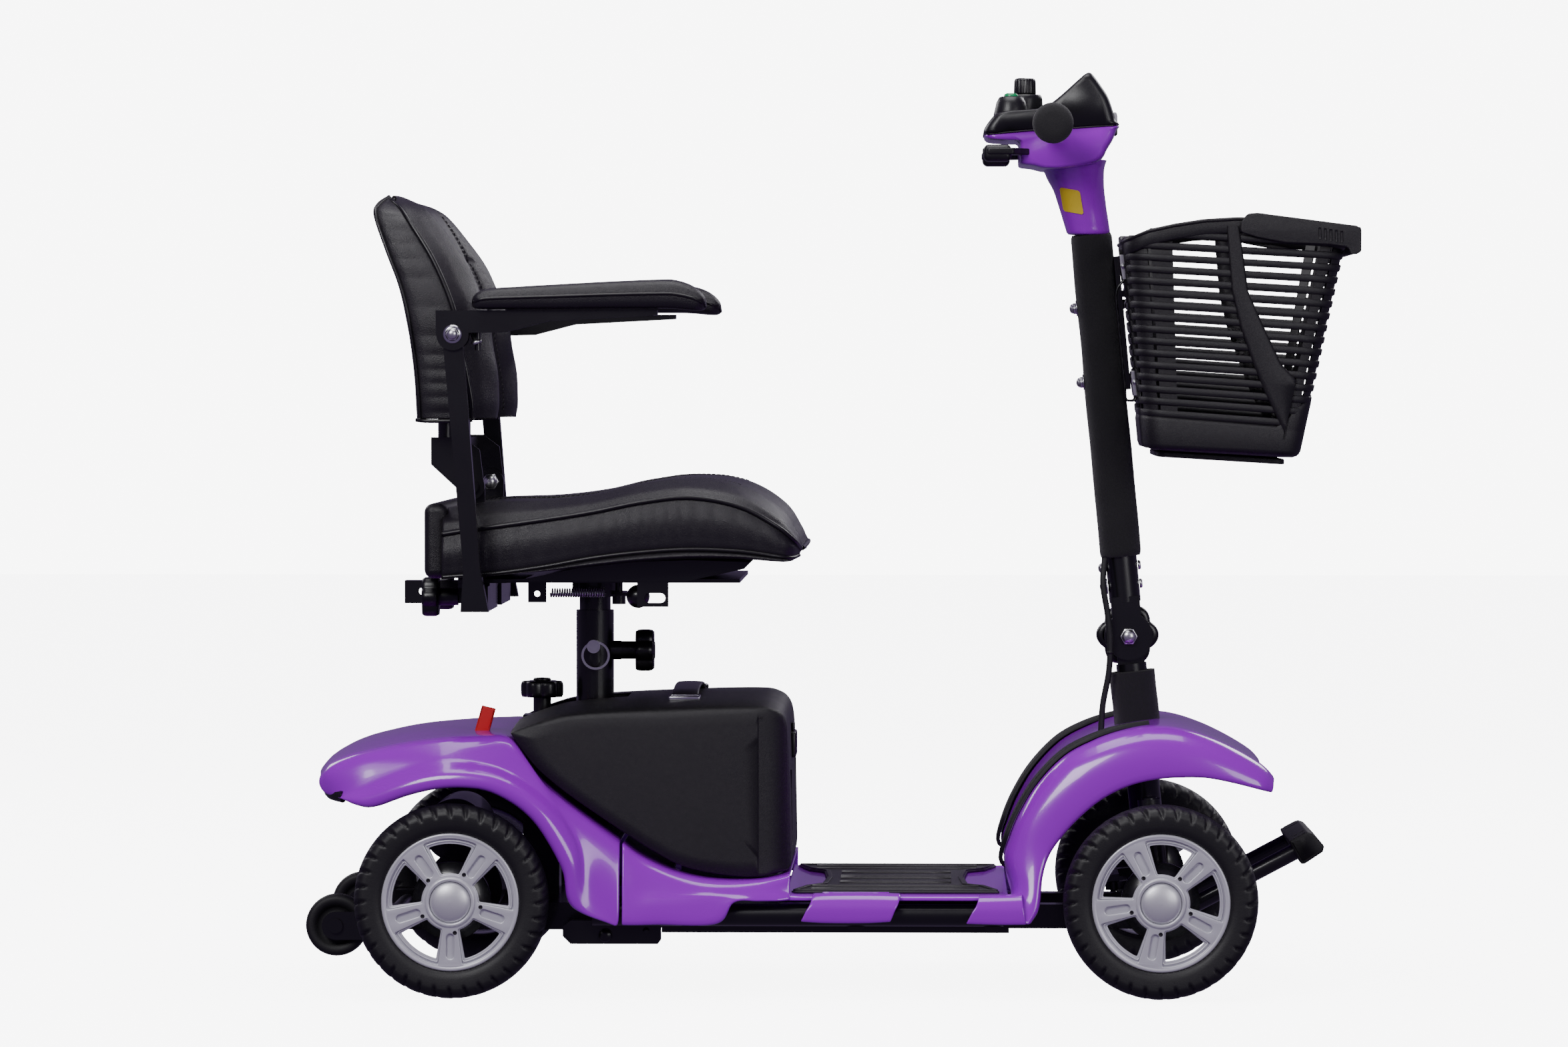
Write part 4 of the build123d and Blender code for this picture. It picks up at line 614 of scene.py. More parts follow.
# rear shroud, from the middle out to the wheel arch and round its lip
T = [(-531, 226), (-520, 238), (-500, 247), (-478, 253), (-440, 261), (-400, 266), (-360, 268), (-338, 267.5)]
FRONT_EDGE = [(-327, 257), (-306, 226), (-284, 206), (-255, 184), (-221, 160)]
crown = [(x, z + dz) for (x, z), dz in zip(T, (1, 2, 4, 5, 5, 4, 2, 0))]
rear_rows = rows_at([
    (0, [(x - 10, z) for x, z in crown] + FRONT_EDGE),
    (95, [(x - 8, z) for x, z in crown] + FRONT_EDGE),
    (150, [(x - 3, z + 0.5) for x, z in T] + FRONT_EDGE),
    ([176, 184, 188, 190, 192, 194, 195, 195, 195, 195, 196, 197, 198], T + FRONT_EDGE),
    ([180, 190, 195, 197, 199, 200, 201, 201, 202, 202, 203, 204, 205], [(-533, 221), (-521, 230), (-500, 238), (-478, 245), (-440, 253.5), (-400, 259), (-360, 262), (-333, 261), (-318, 247), (-298, 219), (-277, 200), (-250, 178), (-221, 152)]),
    ([183, 192, 199, 203, 207, 209, 210, 210, 210, 210, 210, 210, 210], [(-532, 215), (-520, 221), (-500, 226), (-478, 232), (-440, 242), (-400, 248), (-360, 247), (-333, 241), (-308, 226), (-286, 204), (-266, 184), (-246, 162), (-221, 136)]),
    ([186, 194, 202, 206, 210, 212, 213, 213, 214, 215, 215, 215, 215], [(-527, 208), (-515, 210), (-499, 213), (-478, 220), (-440, 235), (-400, 243), (-360, 241), (-333, 233), (-308, 217), (-286, 196), (-265, 166), (-243, 140), (-221, 119)]),
    ([187, 196, 204, 208, 213, 215, 216, 216, 217, 218, 218, 219, 219], [(-521, 206), (-512, 206.5), (-498, 209), (-478, 216), (-440, 231), (-400, 240.5), (-360, 238.5), (-333, 230), (-308, 214), (-286, 193), (-264, 160), (-246, 125), (-221, 101)]),
    ([188, 198, 207, 211, 216, 218, 219, 219, 220, 221, 222, 222, 222], [(-519, 205.5), (-510, 205.5), (-497, 207.5), (-478, 213.5), (-440, 228.5), (-400, 238), (-360, 236), (-333, 227.5), (-308, 211.5), (-286, 190), (-263, 152), (-252, 105), (-221, 84)]),
    ([190, 202, 213, 219, 226, 229, 230, 230, 230, 230, 229, 227, 222], [(-517, 205), (-508, 204.5), (-494, 204), (-476, 208), (-438, 222.5), (-400, 230.5), (-360, 228.5), (-333, 220.5), (-309, 204), (-290, 183), (-268, 141), (-258, 95), (-222, 76.5)]),
    ([191, 203, 214, 220, 227, 230, 231, 231, 231, 231, 230, 228, 223], [(-516, 204.4), (-507, 203.6), (-493, 200), (-474, 200), (-436, 212), (-400, 219), (-362, 218), (-336, 209), (-313, 194), (-295, 173), (-275, 135), (-266, 95), (-224, 75)]),
    ([191, 202, 212, 218, 224, 227, 228, 228, 228, 228, 227, 225, 221], [(-515, 204), (-506, 203), (-492, 197), (-472, 194.5), (-434, 207.5), (-400, 214.5), (-364, 213.5), (-339, 204), (-317, 188.5), (-300, 168), (-280, 131), (-271, 95), (-226, 74.4)]),
    ([189, 198, 204, 206, 208, 208, 208, 208, 208, 208, 208, 208, 208], [(-514, 205), (-505, 204), (-491, 199), (-471, 196.5), (-434, 209.5), (-400, 216.5), (-364, 215.5), (-339, 206), (-317, 190.5), (-299, 169), (-279, 131), (-270, 95), (-226, 77)]),
])
half = loft("rear_half", [resample(r, 96) for r in rear_rows])
rear = both_sides("rear_shroud_look", half, 2.4, "chassis", "rear_shroud", cut=lambda x, y, z: abs(y) < 37 and -352 < x < -222)

# black trim under the tail
tail = tube("tail_trim", [(-530, 0, 213), (-529, -90, 212), (-526, -150, 210.5), (-519, -182, 207.5), (-505, -199, 205)], 4.2, n=50, sides=10, flat=1.5)
tail2 = mirror_y(tail, "tail_trim_l")
tail = join("tail_trim_look", [tail, tail2])
put(tail, "chassis", "satin")

# deck panel: side walls, the step under the battery, and the floor
SPLIT = -218.6
side_top = [(SPLIT, 158.5), (-200, 145), (-170, 131), (-140, 123.3), (-110, 120.6), (-80, 121.2), (-60, 124), (-47, 127)]
deck_rows = rows_at([
    (0, side_top),
    (150, side_top),
    (192, side_top),
    ([198, 198, 199, 199, 200, 200, 200, 200], [(x, z - 1.0) for x, z in side_top]),
    ([204, 205, 206, 206, 206, 204, 202, 200], [(SPLIT, 151), (-200, 138), (-170, 125), (-140, 117.5), (-110, 114.8), (-80, 115.4), (-60, 117), (-47, 117.5)]),
    ([210, 211, 211, 210, 209, 207, 204, 201], [(SPLIT, 135), (-200, 121), (-170, 113), (-140, 110), (-110, 109), (-80, 109), (-60, 109), (-47, 109.5)]),
    ([215, 215, 214, 213, 211, 209, 206, 202], [(SPLIT, 118), (-203, 106), (-182, 106), (-140, 106.4), (-110, 106), (-80, 106), (-60, 106), (-47, 106.4)]),
    ([219, 219, 218, 216, 213, 210, 207, 203], [(SPLIT, 100), (-203, 100.6), (-182, 103), (-140, 103.4), (-108, 104), (-80, 104), (-60, 104), (-47, 104.4)]),
    ([222, 222, 221, 219, 215, 211, 208, 204], [(SPLIT, 84), (-203, 84), (-182, 86), (-140, 88), (-107, 101.5), (-80, 102), (-60, 102), (-47, 102.4)]),
    ([223, 223, 222, 221, 216, 212, 209, 204], [(SPLIT, 76), (-203, 76), (-182, 76.5), (-124, 77.5), (-105, 99), (-80, 100), (-60, 100), (-47, 100.4)]),
    ([219, 219, 218, 217, 213, 209, 206, 201], [(SPLIT, 75), (-203, 75), (-182, 75.5), (-121, 76.5), (-104, 98), (-80, 99), (-60, 99), (-47, 99.4)]),
])
half = loft("deck_half", [resample(r, 56) for r in deck_rows])
deck = both_sides("deck_shroud_look", half, 2.2, "chassis", "deck_shroud", cut=lambda x, y, z: (abs(y) < 37 and x < -213) or (abs(y) < 111 and -167 < x < -57))

floor_rows = rows_at([
    (0, [(-50, 110.5), (-46, 107), (-40, 105.4), (0, 105.4), (60, 105.4), (120, 105.4), (176, 105.4)]),
    (165, [(-50, 110.5), (-46, 107), (-40, 105.4), (0, 105.4), (60, 105.4), (120, 105.4), (176, 105.4)]),
    (194, [(-52, 110.0), (-48, 107), (-41, 105.6), (0, 105.4), (60, 105.4), (120, 105.4), (176, 105.6)]),
    ([201, 201, 200, 200, 200, 200, 200], [(-54, 106.5), (-48, 105.4), (-41, 104.6), (0, 104.3), (60, 104.3), (120, 104.3), (176, 104.6)]),
    ([203, 203, 202, 202, 202, 202, 202], [(-54, 103.0), (-48, 102.4), (-41, 102.0), (0, 102.0), (60, 102.0), (120, 102.0), (176, 102.0)]),
    ([203, 203, 202, 202, 202, 202, 202], [(-54, 100.0), (-48, 99.6), (-41, 99.5), (0, 99.5), (60, 99.5), (120, 99.5), (176, 99.5)]),
])
half = loft("floor_half", [resample(r, 48) for r in floor_rows])
floor_pan = both_sides("deck_floor_look", half, 2.0, "chassis", None)


# side tabs that wrap over the tube
def tab(name, top, bottom, n=30):
    rows = []
    for y, f, dz in ((186, 0.0, 0.6), (200, 0.0, 1.2), (207, 0.03, 0.9), (212, 0.1, -1.5), (215, 0.25, -4), (216.5, 0.5, 0), (217, 0.8, 0), (217, 1.0, 0), (214, 1.0, 1.2)):
        r = []
        for (xt, zt), (xb, zb) in zip(resample(top, n), resample(bottom, n)):
            r.append((xt + (xb - xt) * f, -y, zt + (zb - zt) * f + dz * (1 - f)))
        rows.append(r)
    return loft(name, rows)


half = tab("tab_a", [(-24, 106), (0, 106.6), (40, 106.6), (66, 106)], [(-36, 79), (-10, 77.6), (30, 77.6), (56, 79)])
tabs = both_sides("deck_tab_look", half, 2.2, "chassis", None)
grooves = []
for k in range(3):
    for sgn in (-1, 1):
        y = 189 + 5 * k
        grooves.append(tube("g", [(-14 + k, sgn * y, 107.0), (54 - k, sgn * y, 107.0)], 1.2, n=6, sides=8, smooth=False, flat=0.6))
put(join("deck_tab_ribs", grooves), "chassis", "purple")

# front shroud: column, arch and nose
FT = [(171, 139), (176, 160), (187, 187), (206, 218), (233, 246), (262, 262), (292, 272), (322, 277), (352, 275), (382, 266), (412, 252), (438, 236), (449, 224)]
front_rows = rows_at([
    (0, [(182, 100), (182, 106)] + [(x + 6, z + 2) for x, z in FT[:3]] + [(x + 4, z - 1) for x, z in FT[3:8]] + [(x - 2, z) for x, z in FT[8:]]),
    (90, [(182, 100), (182, 106)] + [(x + 6, z + 2) for x, z in FT[:3]] + [(x + 4, z - 1) for x, z in FT[3:8]] + [(x - 2, z) for x, z in FT[8:]]),
    (118, [(180, 100), (180, 106)] + [(x + 3, z + 1) for x, z in FT[:3]] + [(x + 2, z) for x, z in FT[3:8]] + [(x, z) for x, z in FT[8:]]),
    (150, [(178, 100), (178, 106)] + FT),
    ([166, 166, 168, 170, 170, 168, 166, 164, 164, 166, 168, 168, 166, 162, 158], [(178, 100), (180, 106)] + [(x + 1.5, z - 0.5) for x, z in FT]),
    ([196, 184, 182, 181, 181, 180, 180, 180, 180, 180, 180, 180, 178, 174, 168], [(174, 101), (181, 108), (180, 137), (185, 158), (195, 183), (214, 212), (239, 237), (266, 252), (294, 262), (322, 266.5), (352, 264), (382, 255.5), (412, 243), (437, 229), (449, 219)]),
    ([209, 195, 190, 188, 187, 187, 187, 187, 187, 187, 187, 186, 184, 180, 172], [(178, 90), (187, 106), (190, 132), (196, 153), (207, 177), (226, 202), (249, 224), (273, 238), (298, 247), (324, 251), (352, 250), (381, 244), (410, 234), (436, 223), (449, 215)]),
    ([215, 204, 195, 190, 189, 189, 189, 189, 189, 189, 189, 188, 186, 182, 174], [(184, 80), (196, 100), (201, 127), (208, 149), (221, 172), (239, 193), (259, 210), (280, 223), (302, 232), (326, 236.5), (352, 237), (380, 234), (409, 226), (435, 217.5), (448, 211.5)]),
    ([216, 207, 197, 191, 190, 190, 190, 190, 190, 190, 190, 189, 187, 183, 175], [(196, 76.6), (205, 93), (209.5, 124), (217, 147), (232, 168), (249, 186), (267, 201), (286, 212), (306, 219.5), (328, 224), (352, 226), (379, 225.5), (408, 220), (434, 213), (447, 209.5)]),
    ([213, 204, 194, 188, 187, 187, 187, 187, 187, 187, 187, 186, 184, 180, 172], [(199, 76.8), (208, 92), (211.5, 123), (219, 146), (234, 167), (251, 185), (269, 200), (288, 211), (307, 218.3), (329, 223), (352, 224.8), (379, 224.2), (407, 218.8), (433, 212), (446, 208.6)]),
    ([196, 186, 180, 176, 176, 176, 176, 176, 176, 176, 176, 175, 173, 169, 162], [(199, 78), (208, 93), (211.5, 124), (219, 147), (234, 168), (251, 186), (269, 201), (288, 212), (307, 219.3), (329, 224), (352, 225.8), (379, 225.4), (407, 220), (433, 213.5), (446, 210)]),
])
half = loft("front_half", [resample(r, 110) for r in front_rows])
front = both_sides("front_shroud_look", half, 2.4, "chassis", "front_shroud", cut=lambda x, y, z: abs(y) < 34 and 268 < x < 346 and z > 225)

# foot of the column, wrapped round the side tube
half = tab("tab_b", [(146, 104.5), (165, 105), (180, 105.5), (190, 106)], [(133, 77), (165, 76.2), (184, 76.2), (194, 76.4)])
put_b = both_sides("column_foot_look", half, 2.2, "chassis", None)


# two rubber strips over the shoulder of the front shroud
def strip(name, y0, y1, sgn):
    base = np.array([(p[0], p[2]) for p in resample([(x, 0, z) for x, z in [(177, 132)] + FT[:8]], 70)])
    d = np.gradient(base, axis=0)
    nrm = np.column_stack([-d[:, 1], d[:, 0]])
    nrm /= np.linalg.norm(nrm, axis=1)[:, None]
    rows = []
    for f, h in ((0, 0.3), (0, 2.8), (0.08, 4.4), (0.26, 4.6), (0.32, 3.2), (0.40, 3.2), (0.46, 4.6), (0.60, 4.6), (0.66, 3.2), (0.74, 3.2), (0.80, 4.6), (0.94, 4.4), (1, 2.8), (1, 0.3)):
        r = []
        for i, (b, nn) in enumerate(zip(base, nrm)):
            t = i / (len(base) - 1)
            w = min(1.0, 0.25 + 5 * t) * min(1.0, 0.12 + 3.2 * (1 - t))
            yc = (y0 + y1) / 2
            y = yc + (f - 0.5) * (y1 - y0) * w
            r.append((b[0] + nn[0] * h, sgn * y, b[1] + nn[1] * h))
        rows.append(r)
    return recalc(loft(name, rows))


st = join("front_strip_look", [strip("s", 116, 158, -1), strip("s", 116, 158, 1)])
put(st, "chassis", "rubber")

# deck mat: bow-tie ends, a raised border and long ribs
def mat_edge(inset=0.0):
    a = inset
    x0, x1, y1 = -47 + a, 168 - a, 181 - a
    pts = [(x0, -y1), (x1, -y1), (x1 - 14, -118), (x1 - 32, -96), (x1 - 36, 0), (x1 - 32, 96), (x1 - 14, 118), (x1, y1), (x0, y1), (x0 + 14, 118), (x0 + 30, 90), (x0 + 34, 0), (x0 + 30, -90), (x0 + 14, -118)]
    return rounded(pts, [4, 4, 12, 14, 30, 14, 12, 4, 4, 12, 14, 30, 14, 12])


def flat_z(a, b, depth):
    return (a, b, depth)


m1 = plate("mat_base", [mat_edge(0)], 105.6, 108.0, bevel=0.8, frame_of=flat_z)
m2 = plate("mat_border", [mat_edge(1.5), mat_edge(6.5)], 107.4, 109.6, bevel=0.7, frame_of=flat_z)
ribs = []
for y in (-166, -158, -150, -126, -118, -76, -68, -60, -16, -8, 0, 8, 16, 60, 68, 76, 118, 126, 150, 158, 166):
    xa, xb = (-26, 146) if abs(y) > 110 else (2, 118)
    ribs.append(tube("r", [(xa, y, 108.2), (xb, y, 108.2)], 1.9, n=6, sides=8, smooth=False, flat=0.8))
m = join("deck_mat_look", [m1, m2] + ribs)
put(m, "chassis", "mat", ["deck_mat"])

# bumper pad
b28 = math.radians(28)
cx, cz = 352 + 158 * math.cos(b28), 76 + 158 * math.sin(b28)


def pad_frame(a, b, depth):
    return (cx + a * math.cos(b28) - b * math.sin(b28), depth, cz + a * math.sin(b28) + b * math.cos(b28))


pad = plate("bumper_pad_look", [rounded([(-19, -13), (-15, -14.6), (7, -12.4), (11.2, -7.8), (6.6, 9.4), (2.2, 13.6), (-19, 13.8)], [2, 2, 3, 4, 5, 4, 2])], -94, 94, bevel=3.0, seg=4, frame_of=pad_frame)
ridges = [tube("rg", [pad_frame(-14, 13.2, y), pad_frame(0, 13.2, y)], 1.0, n=4, sides=6, smooth=False) for y in (-90, -60, 60, 90)]
pad = join("bumper_pad_look", [pad] + ridges)
put(pad, "chassis", "rubber", ["bumper_pad"])


# lock plate details under the split of the two halves
bits = []
for sgn in (-1, 1):
    bits.append(lathe("lp", [(0.01, 168), (6.4, 168), (6.8, 170), (6.8, 172.4), (5.8, 173.6), (0.01, 174)], (-238, 0, 61), (0, sgn, 0), 32))
    bits.append(lathe("lq", [(0.01, 168), (3.2, 168), (3.2, 169.6), (0.01, 169.8)], (-196, 0, 66), (0, sgn, 0), 24))
put(join("lock_plate_knobs", bits), "chassis", "frame")


# ------------------------------------------------------------------ battery
EDGE = [(-334, 268.5), (-318, 246), (-302, 228.5), (-270, 203), (-216, 166.3), (-185, 147), (-159, 133.6), (-130, 126.5), (-105, 123.2), (-87, 122.3), (-70, 124), (-52, 128)]
CROWN = [(-333, 271), (-322, 276), (-300, 284), (-280, 289), (-240, 293), (-180, 296), (-120, 298), (-80, 298), (-66, 295), (-57, 289), (-52, 278)]


def EDGE_Z(x):
    return float(np.interp(x, [p[0] for p in EDGE], [p[1] for p in EDGE]))


def battery_ring(y, k, inset, lift):
    """One closed side outline, pulled in by inset and with its top lifted."""
    top = [(x, z + lift) for x, z in CROWN]
    front = [(-50, 262), (-48.4, 210), (-47.2, 160), (-47.4, 134)]
    pts = top + front + EDGE[::-1]
    c = np.array([-165, 225.0])
    out = []
    for x, z in pts:
        d = c - np.array([x, z])
        full = np.linalg.norm(d)
        d = d / full
        soft = min(1.0, max(0.12, (z - EDGE_Z(x) - 6) / 40))
        step = inset * soft if inset <= 12 else 12 * soft + (full - 12 * soft) * min(1.0, (inset - 12) / 188)
        out.append((x + d[0] * step, y, z + d[1] * step))
    return out


def plan_limit(y):
    """Front end of the case at a given distance from the middle, following the rounded corners seen from above."""
    a = max(0.0, abs(y) - 148.0)
    return 38.0 - math.sqrt(max(0.0, 38.0**2 - min(a, 37.8) ** 2))


rows = []
for y, inset, lift in ((0, 0, 6.5), (40, 0, 6.3), (80, 0, 5.6), (112, 0, 4.8), (134, 0, 4.0), (148, 0, 3.2), (158, 0, 2.4), (166, 0, 1.6), (172, 0.2, 0.9), (177, 0.6, 0.3), (181, 1.6, 0), (184, 3.4, 0), (185.6, 6.0, 0), (186.3, 10, 0), (186.6, 12, 0), (186.8, 40, 0), (187.0, 90, 0), (187.2, 200, 0)):
    cut = plan_limit(min(y, 185.8))
    ring = []
    for x, yy_, z in battery_ring(-y, 0, inset, lift):
        ring.append((x, yy_, z))
    ring = [(min(x, -46.5 - cut * (1 if inset <= 12 else 1)), v, z) for x, v, z in ring]
    rows.append(resample(ring + [ring[0]], 241)[:-1])
bh = loft("battery_half", rows, closed_v=True)
b2 = mirror_y(bh, "battery_half_l")
bat = recalc(join("battery_look", [bh, b2]))
import bmesh

bm = bmesh.new()
bm.from_mesh(bat.data)
bmesh.ops.delete(bm, geom=[f for f in bm.faces if abs(f.calc_center_median().y) < 0.0455 and f.calc_center_median().x < -0.221], context="FACES")
bm.to_mesh(bat.data)
bm.free()
# walls of the notch round the post, and a moulded parting line
notch = []
for sgn in (-1, 1):
    y = sgn * 45.2
    col = [(x, y, z) for x, z in resample([(x, 0, z) for x, z in EDGE[:5]], 20)[:, [0, 2]]]
    topc = [(x, y, z + 6) for x, z in np.column_stack([[c[0] for c in col], np.interp([c[0] for c in col], [p[0] for p in CROWN], [p[1] for p in CROWN])])]
    notch.append(loft("nw", [col, topc]))
notch.append(loft("nb", [[(-221, -45.4, 160), (-221, 45.4, 160)], [(-221, -45.4, 300), (-221, 45.4, 300)]]))
bat = join("battery_look", [bat] + notch)
put(bat, "battery", "plastic", ["battery_case"])

seam = []
for sgn in (-1, 1):
    y = sgn * 185.6
    pts = [(x + 4, y, z - 12) for x, z in CROWN[1:-3]] + [(-88, y - sgn * 1.0, 282)]
    seam.append(tube("sm", pts, 0.5, n=90, sides=6))
put(join("battery_seam", seam), "battery", "satin")

# latch tongue and the finger grip on the front
g = box("battery_latch_look", (-51, -31, 236), (-44.5, 31, 263), 2.6)
g2 = box("lt", (-50, -14, 262), (-46.5, 14, 272), 1.6)
put(join("battery_latch_look", [g, g2]), "battery", "satin")
fr = [tube("bf", [(-47.6, y, 150), (-48.6, y, 228)], 1.1, n=5, sides=8, smooth=False) for y in (-105, 105)]
put(join("battery_front_ribs", fr), "battery", "plastic")

# strap with a steel clip at each end
prof = [(-127, 300.6), (-118, 301.2), (-108, 302.2), (-96, 305.2), (-80, 308.0), (-40, 310.4), (0, 311.0)]
prof = prof + [(-y, z) for y, z in reversed(prof[:-1])]
rows = []
for dx, dz in ((-13.5, 0), (-13.5, 1.6), (-12, 2.4), (-6, 2.9), (6, 2.9), (12, 2.4), (13.5, 1.6), (13.5, 0), (11, -0.9), (-11, -0.9)):
    rows.append([(-158 + dx, y, z + dz) for y, z in resample([(0, y, z) for y, z in prof], 60)[:, [1, 2]]])
st = loft("strap", rows, closed_u=True)
put(recalc(st), "battery", "satin", ["battery_strap"])
clips = []
for sgn in (-1, 1):
    clips.append(box("c1", (-174, sgn * 128 - 2.0, 300.2), (-142, sgn * 128 + 2.0, 305.2), 1.2))
    clips.append(tube("c2", [(-173, sgn * 128, 303), (-173, sgn * 117, 305.4), (-143, sgn * 117, 305.4), (-143, sgn * 128, 303)], 1.5, n=40, sides=8, smooth=False))
put(join("battery_clips", clips), "battery", "steel")

# ------------------------------------------------------------------ knobs, red lever, posts
lv = plate("freewheel_lever_look", [rounded([(-384, 228), (-370, 226), (-362, 262), (-354, 291.5), (-368, 295), (-377.5, 262)], [2, 2, 6, 0.8, 0.8, 6])], -124.6, -115.4, bevel=1.4)
put(lv, "freewheel_lever", "red", ["freewheel_lever"])

k = lobed("lk", (-313, 0, 298), (0, 0, 1), 22.5, 6, 17)
k2 = lathe("lk2", [(0.01, 315), (9, 315), (9.5, 316.4), (8.6, 318), (0.01, 318.6)], (-313, 0, 0), (0, 0, 1), 40)
k3 = lathe("lk3", [(9.4, 281), (9.4, 298)], (-313, 0, 0), (0, 0, 1), 40)
put(join("lock_knob_look", [k, k2, k3]), "lock_knob", "knob", ["lock_knob"])

k = lobed("pk", (-214, 0, 347.5), (1, 0, 0), 23.5, 6, 19)
k2 = lathe("pk2", [(9.5, -230), (9.5, -213)], (0, 0, 347.5), (1, 0, 0), 40)
k3 = lathe("pk3", [(0.01, -193.5), (8.5, -193.8), (9.5, -195)], (0, 0, 347.5), (1, 0, 0), 40)
k4 = lathe("pk4", [(3, -236), (3, -228)], (0, 0, 347.5), (1, 0, 0), 20)
put(join("post_knob_look", [k, k2, k3, k4]), "post_knob", "knob", ["post_knob"])

for tag, sgn in (("right", -1), ("left", 1)):
    y = sgn * 100
    k = lobed("ak", (-414, y, 407), (-1, 0, 0), 22, 6, 17)
    k2 = lathe("ak2", [(9.0, -414), (9.0, -394)], (0, y, 407), (1, 0, 0), 32)
    put(join(f"arm_knob_{tag}_look", [k, k2]), f"arm_knob_{tag}", "knob", [f"arm_knob_{tag}"])

# clamp knob on the fold hinge: a large six-lobed knob on the rider's left, a steel bolt end on the right
k = lobed("ck", (304.2, 23, 362.9), (0, 1, 0), 33, 6, 20)
k2 = lathe("ck2", [(3.9, -24), (3.9, 24)], (304.2, 0, 362.9), (0, 1, 0), 24)
k3 = acorn("ck3", (304.2, -16.5, 362.9), (0, -1, 0), 8.5, 8)
k3 = paint(k3, "zinc")
put(join("clamp_knob_look", [k, k2]), "clamp_knob", "knob", ["clamp_knob"])
put(k3, "clamp_knob", "zinc")

# ------------------------------------------------------------------ control cable
cab = resample([(279, -17.5, 446), (277, -23.5, 418), (282, -24.5, 385), (284.5, -24.0, 355), (283, -23.0, 325), (277, -21, 292), (275, -19.5, 262), (274, -19, 244)], 90)
split = 44
for part, pts, a, b, s0, s1 in (("upper", cab[:split + 1], "steering_stem", "tiller", (0.283, -0.024, 0.368), (0.278, -0.022, 0.425)), ("lower", cab[split:], "chassis", "steering_stem", (0.2745, -0.019, 0.250), (0.281, -0.022, 0.300))):
    o = tube(f"control_cable_{part}", [tuple(p) for p in pts], 3.2, n=46, sides=14, smooth=False)
    paint(o, "rubber")
    if part == "upper":
        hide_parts("control_cable")
    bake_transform(o)


# ------------------------------------------------------------------ seat cushion
def interp_rows(keys, n_rows, n_pts):
    """keys: list of (t, [points]); gives n_rows smooth rows of n_pts."""
    base = [resample(k[1], n_pts) for k in keys]
    ts = [k[0] for k in keys]
    out = []
    for t in np.linspace(ts[0], ts[-1], n_rows):
        i = max(j for j in range(len(ts)) if ts[j] <= t + 1e-9)
        i = min(i, len(ts) - 2)
        f = (t - ts[i]) / (ts[i + 1] - ts[i])
        p0, p1, p2, p3 = base[max(i - 1, 0)], base[i], base[i + 1], base[min(i + 2, len(base) - 1)]
        out.append(0.5 * (2 * p1 + (p2 - p0) * f + (2 * p0 - 5 * p1 + 4 * p2 - p3) * f * f + (3 * p1 - p0 - 3 * p2 + p3) * f**3))
    return out


CREST = [(-404, 500), (-380, 504), (-355, 507), (-300, 509), (-250, 515), (-200, 526), (-150, 531), (-100, 524), (-60, 501), (-42, 476), (-35, 460)]
PIPE = [(-404, 474), (-380, 478), (-350, 482), (-300, 489), (-250, 497), (-200, 507), (-150, 512), (-100, 503), (-62, 483), (-44, 468), (-37, 459)]
HEM = [(-404, 430), (-380, 432), (-350, 434), (-300, 441), (-250, 450), (-200, 456), (-150, 459), (-100, 457), (-62, 452), (-46, 450), (-39, 452)]
BOTTOM = [(-404, 428), (-380, 430), (-350, 432), (-300, 436), (-250, 441), (-200, 446), (-150, 449), (-100, 449), (-62, 446), (-48, 446), (-42, 449)]


def yy(vals, pts):
    xs = np.linspace(0, 1, len(vals))
    q = np.interp(np.linspace(0, 1, len(pts)), xs, vals)
    return [(p[0], -v, p[1]) for p, v in zip(pts, q)]


def blendpts(a, b, t):
    return [(p[0] + (q[0] - p[0]) * t, p[1] + (q[1] - p[1]) * t) for p, q in zip(a, b)]


W = [196, 199, 201, 203, 205, 206, 206, 205, 200, 186, 160]
WP = [192, 196, 199, 201, 203, 204, 204, 203, 198, 183, 156]
dip = [0, -3, -7, -10, -9, -5, -2, 0, 0, 0, 0]
keys = [
    (0.00, yy([0.0] * 11, [(x, z + d * 1.1) for (x, z), d in zip(CREST, dip)])),
    (0.22, yy([v * 0.30 for v in W], [(x, z + d) for (x, z), d in zip(CREST, dip)])),
    (0.42, yy([v * 0.56 for v in W], [(x, z + d * 0.45) for (x, z), d in zip(CREST, dip)])),
    (0.58, yy([v * 0.74 for v in W], CREST)),
    (0.70, yy([v * 0.86 for v in W], [(x, z - 1.5) for x, z in blendpts(CREST, PIPE, 0.18)])),
    (0.82, yy([v * 0.94 for v in W], blendpts(CREST, PIPE, 0.52))),
    (0.92, yy([v * 0.985 for v in WP], blendpts(CREST, PIPE, 0.86))),
    (1.00, yy(WP, PIPE)),
    (1.06, yy([v + 1.5 for v in WP], blendpts(PIPE, HEM, 0.10))),
    (1.20, yy([v + 2.6 for v in W], blendpts(PIPE, HEM, 0.40))),
    (1.34, yy([v + 1.6 for v in W], blendpts(PIPE, HEM, 0.75))),
    (1.42, yy([v - 1.5 for v in W], HEM)),
    (1.52, yy([v - 14 for v in W], BOTTOM)),
    (2.00, yy([0.0] * 11, BOTTOM)),
]


def row_surface(name, keys, n_rows, n_pts, bump=None):
    rows = interp_rows(keys, n_rows, n_pts)
    if bump:
        t = np.linspace(keys[0][0], keys[-1][0], n_rows)
        rows = [[bump(p, tt, j / (n_pts - 1)) for j, p in enumerate(r)] for r, tt in zip(rows, t)]
    return loft(name, rows)


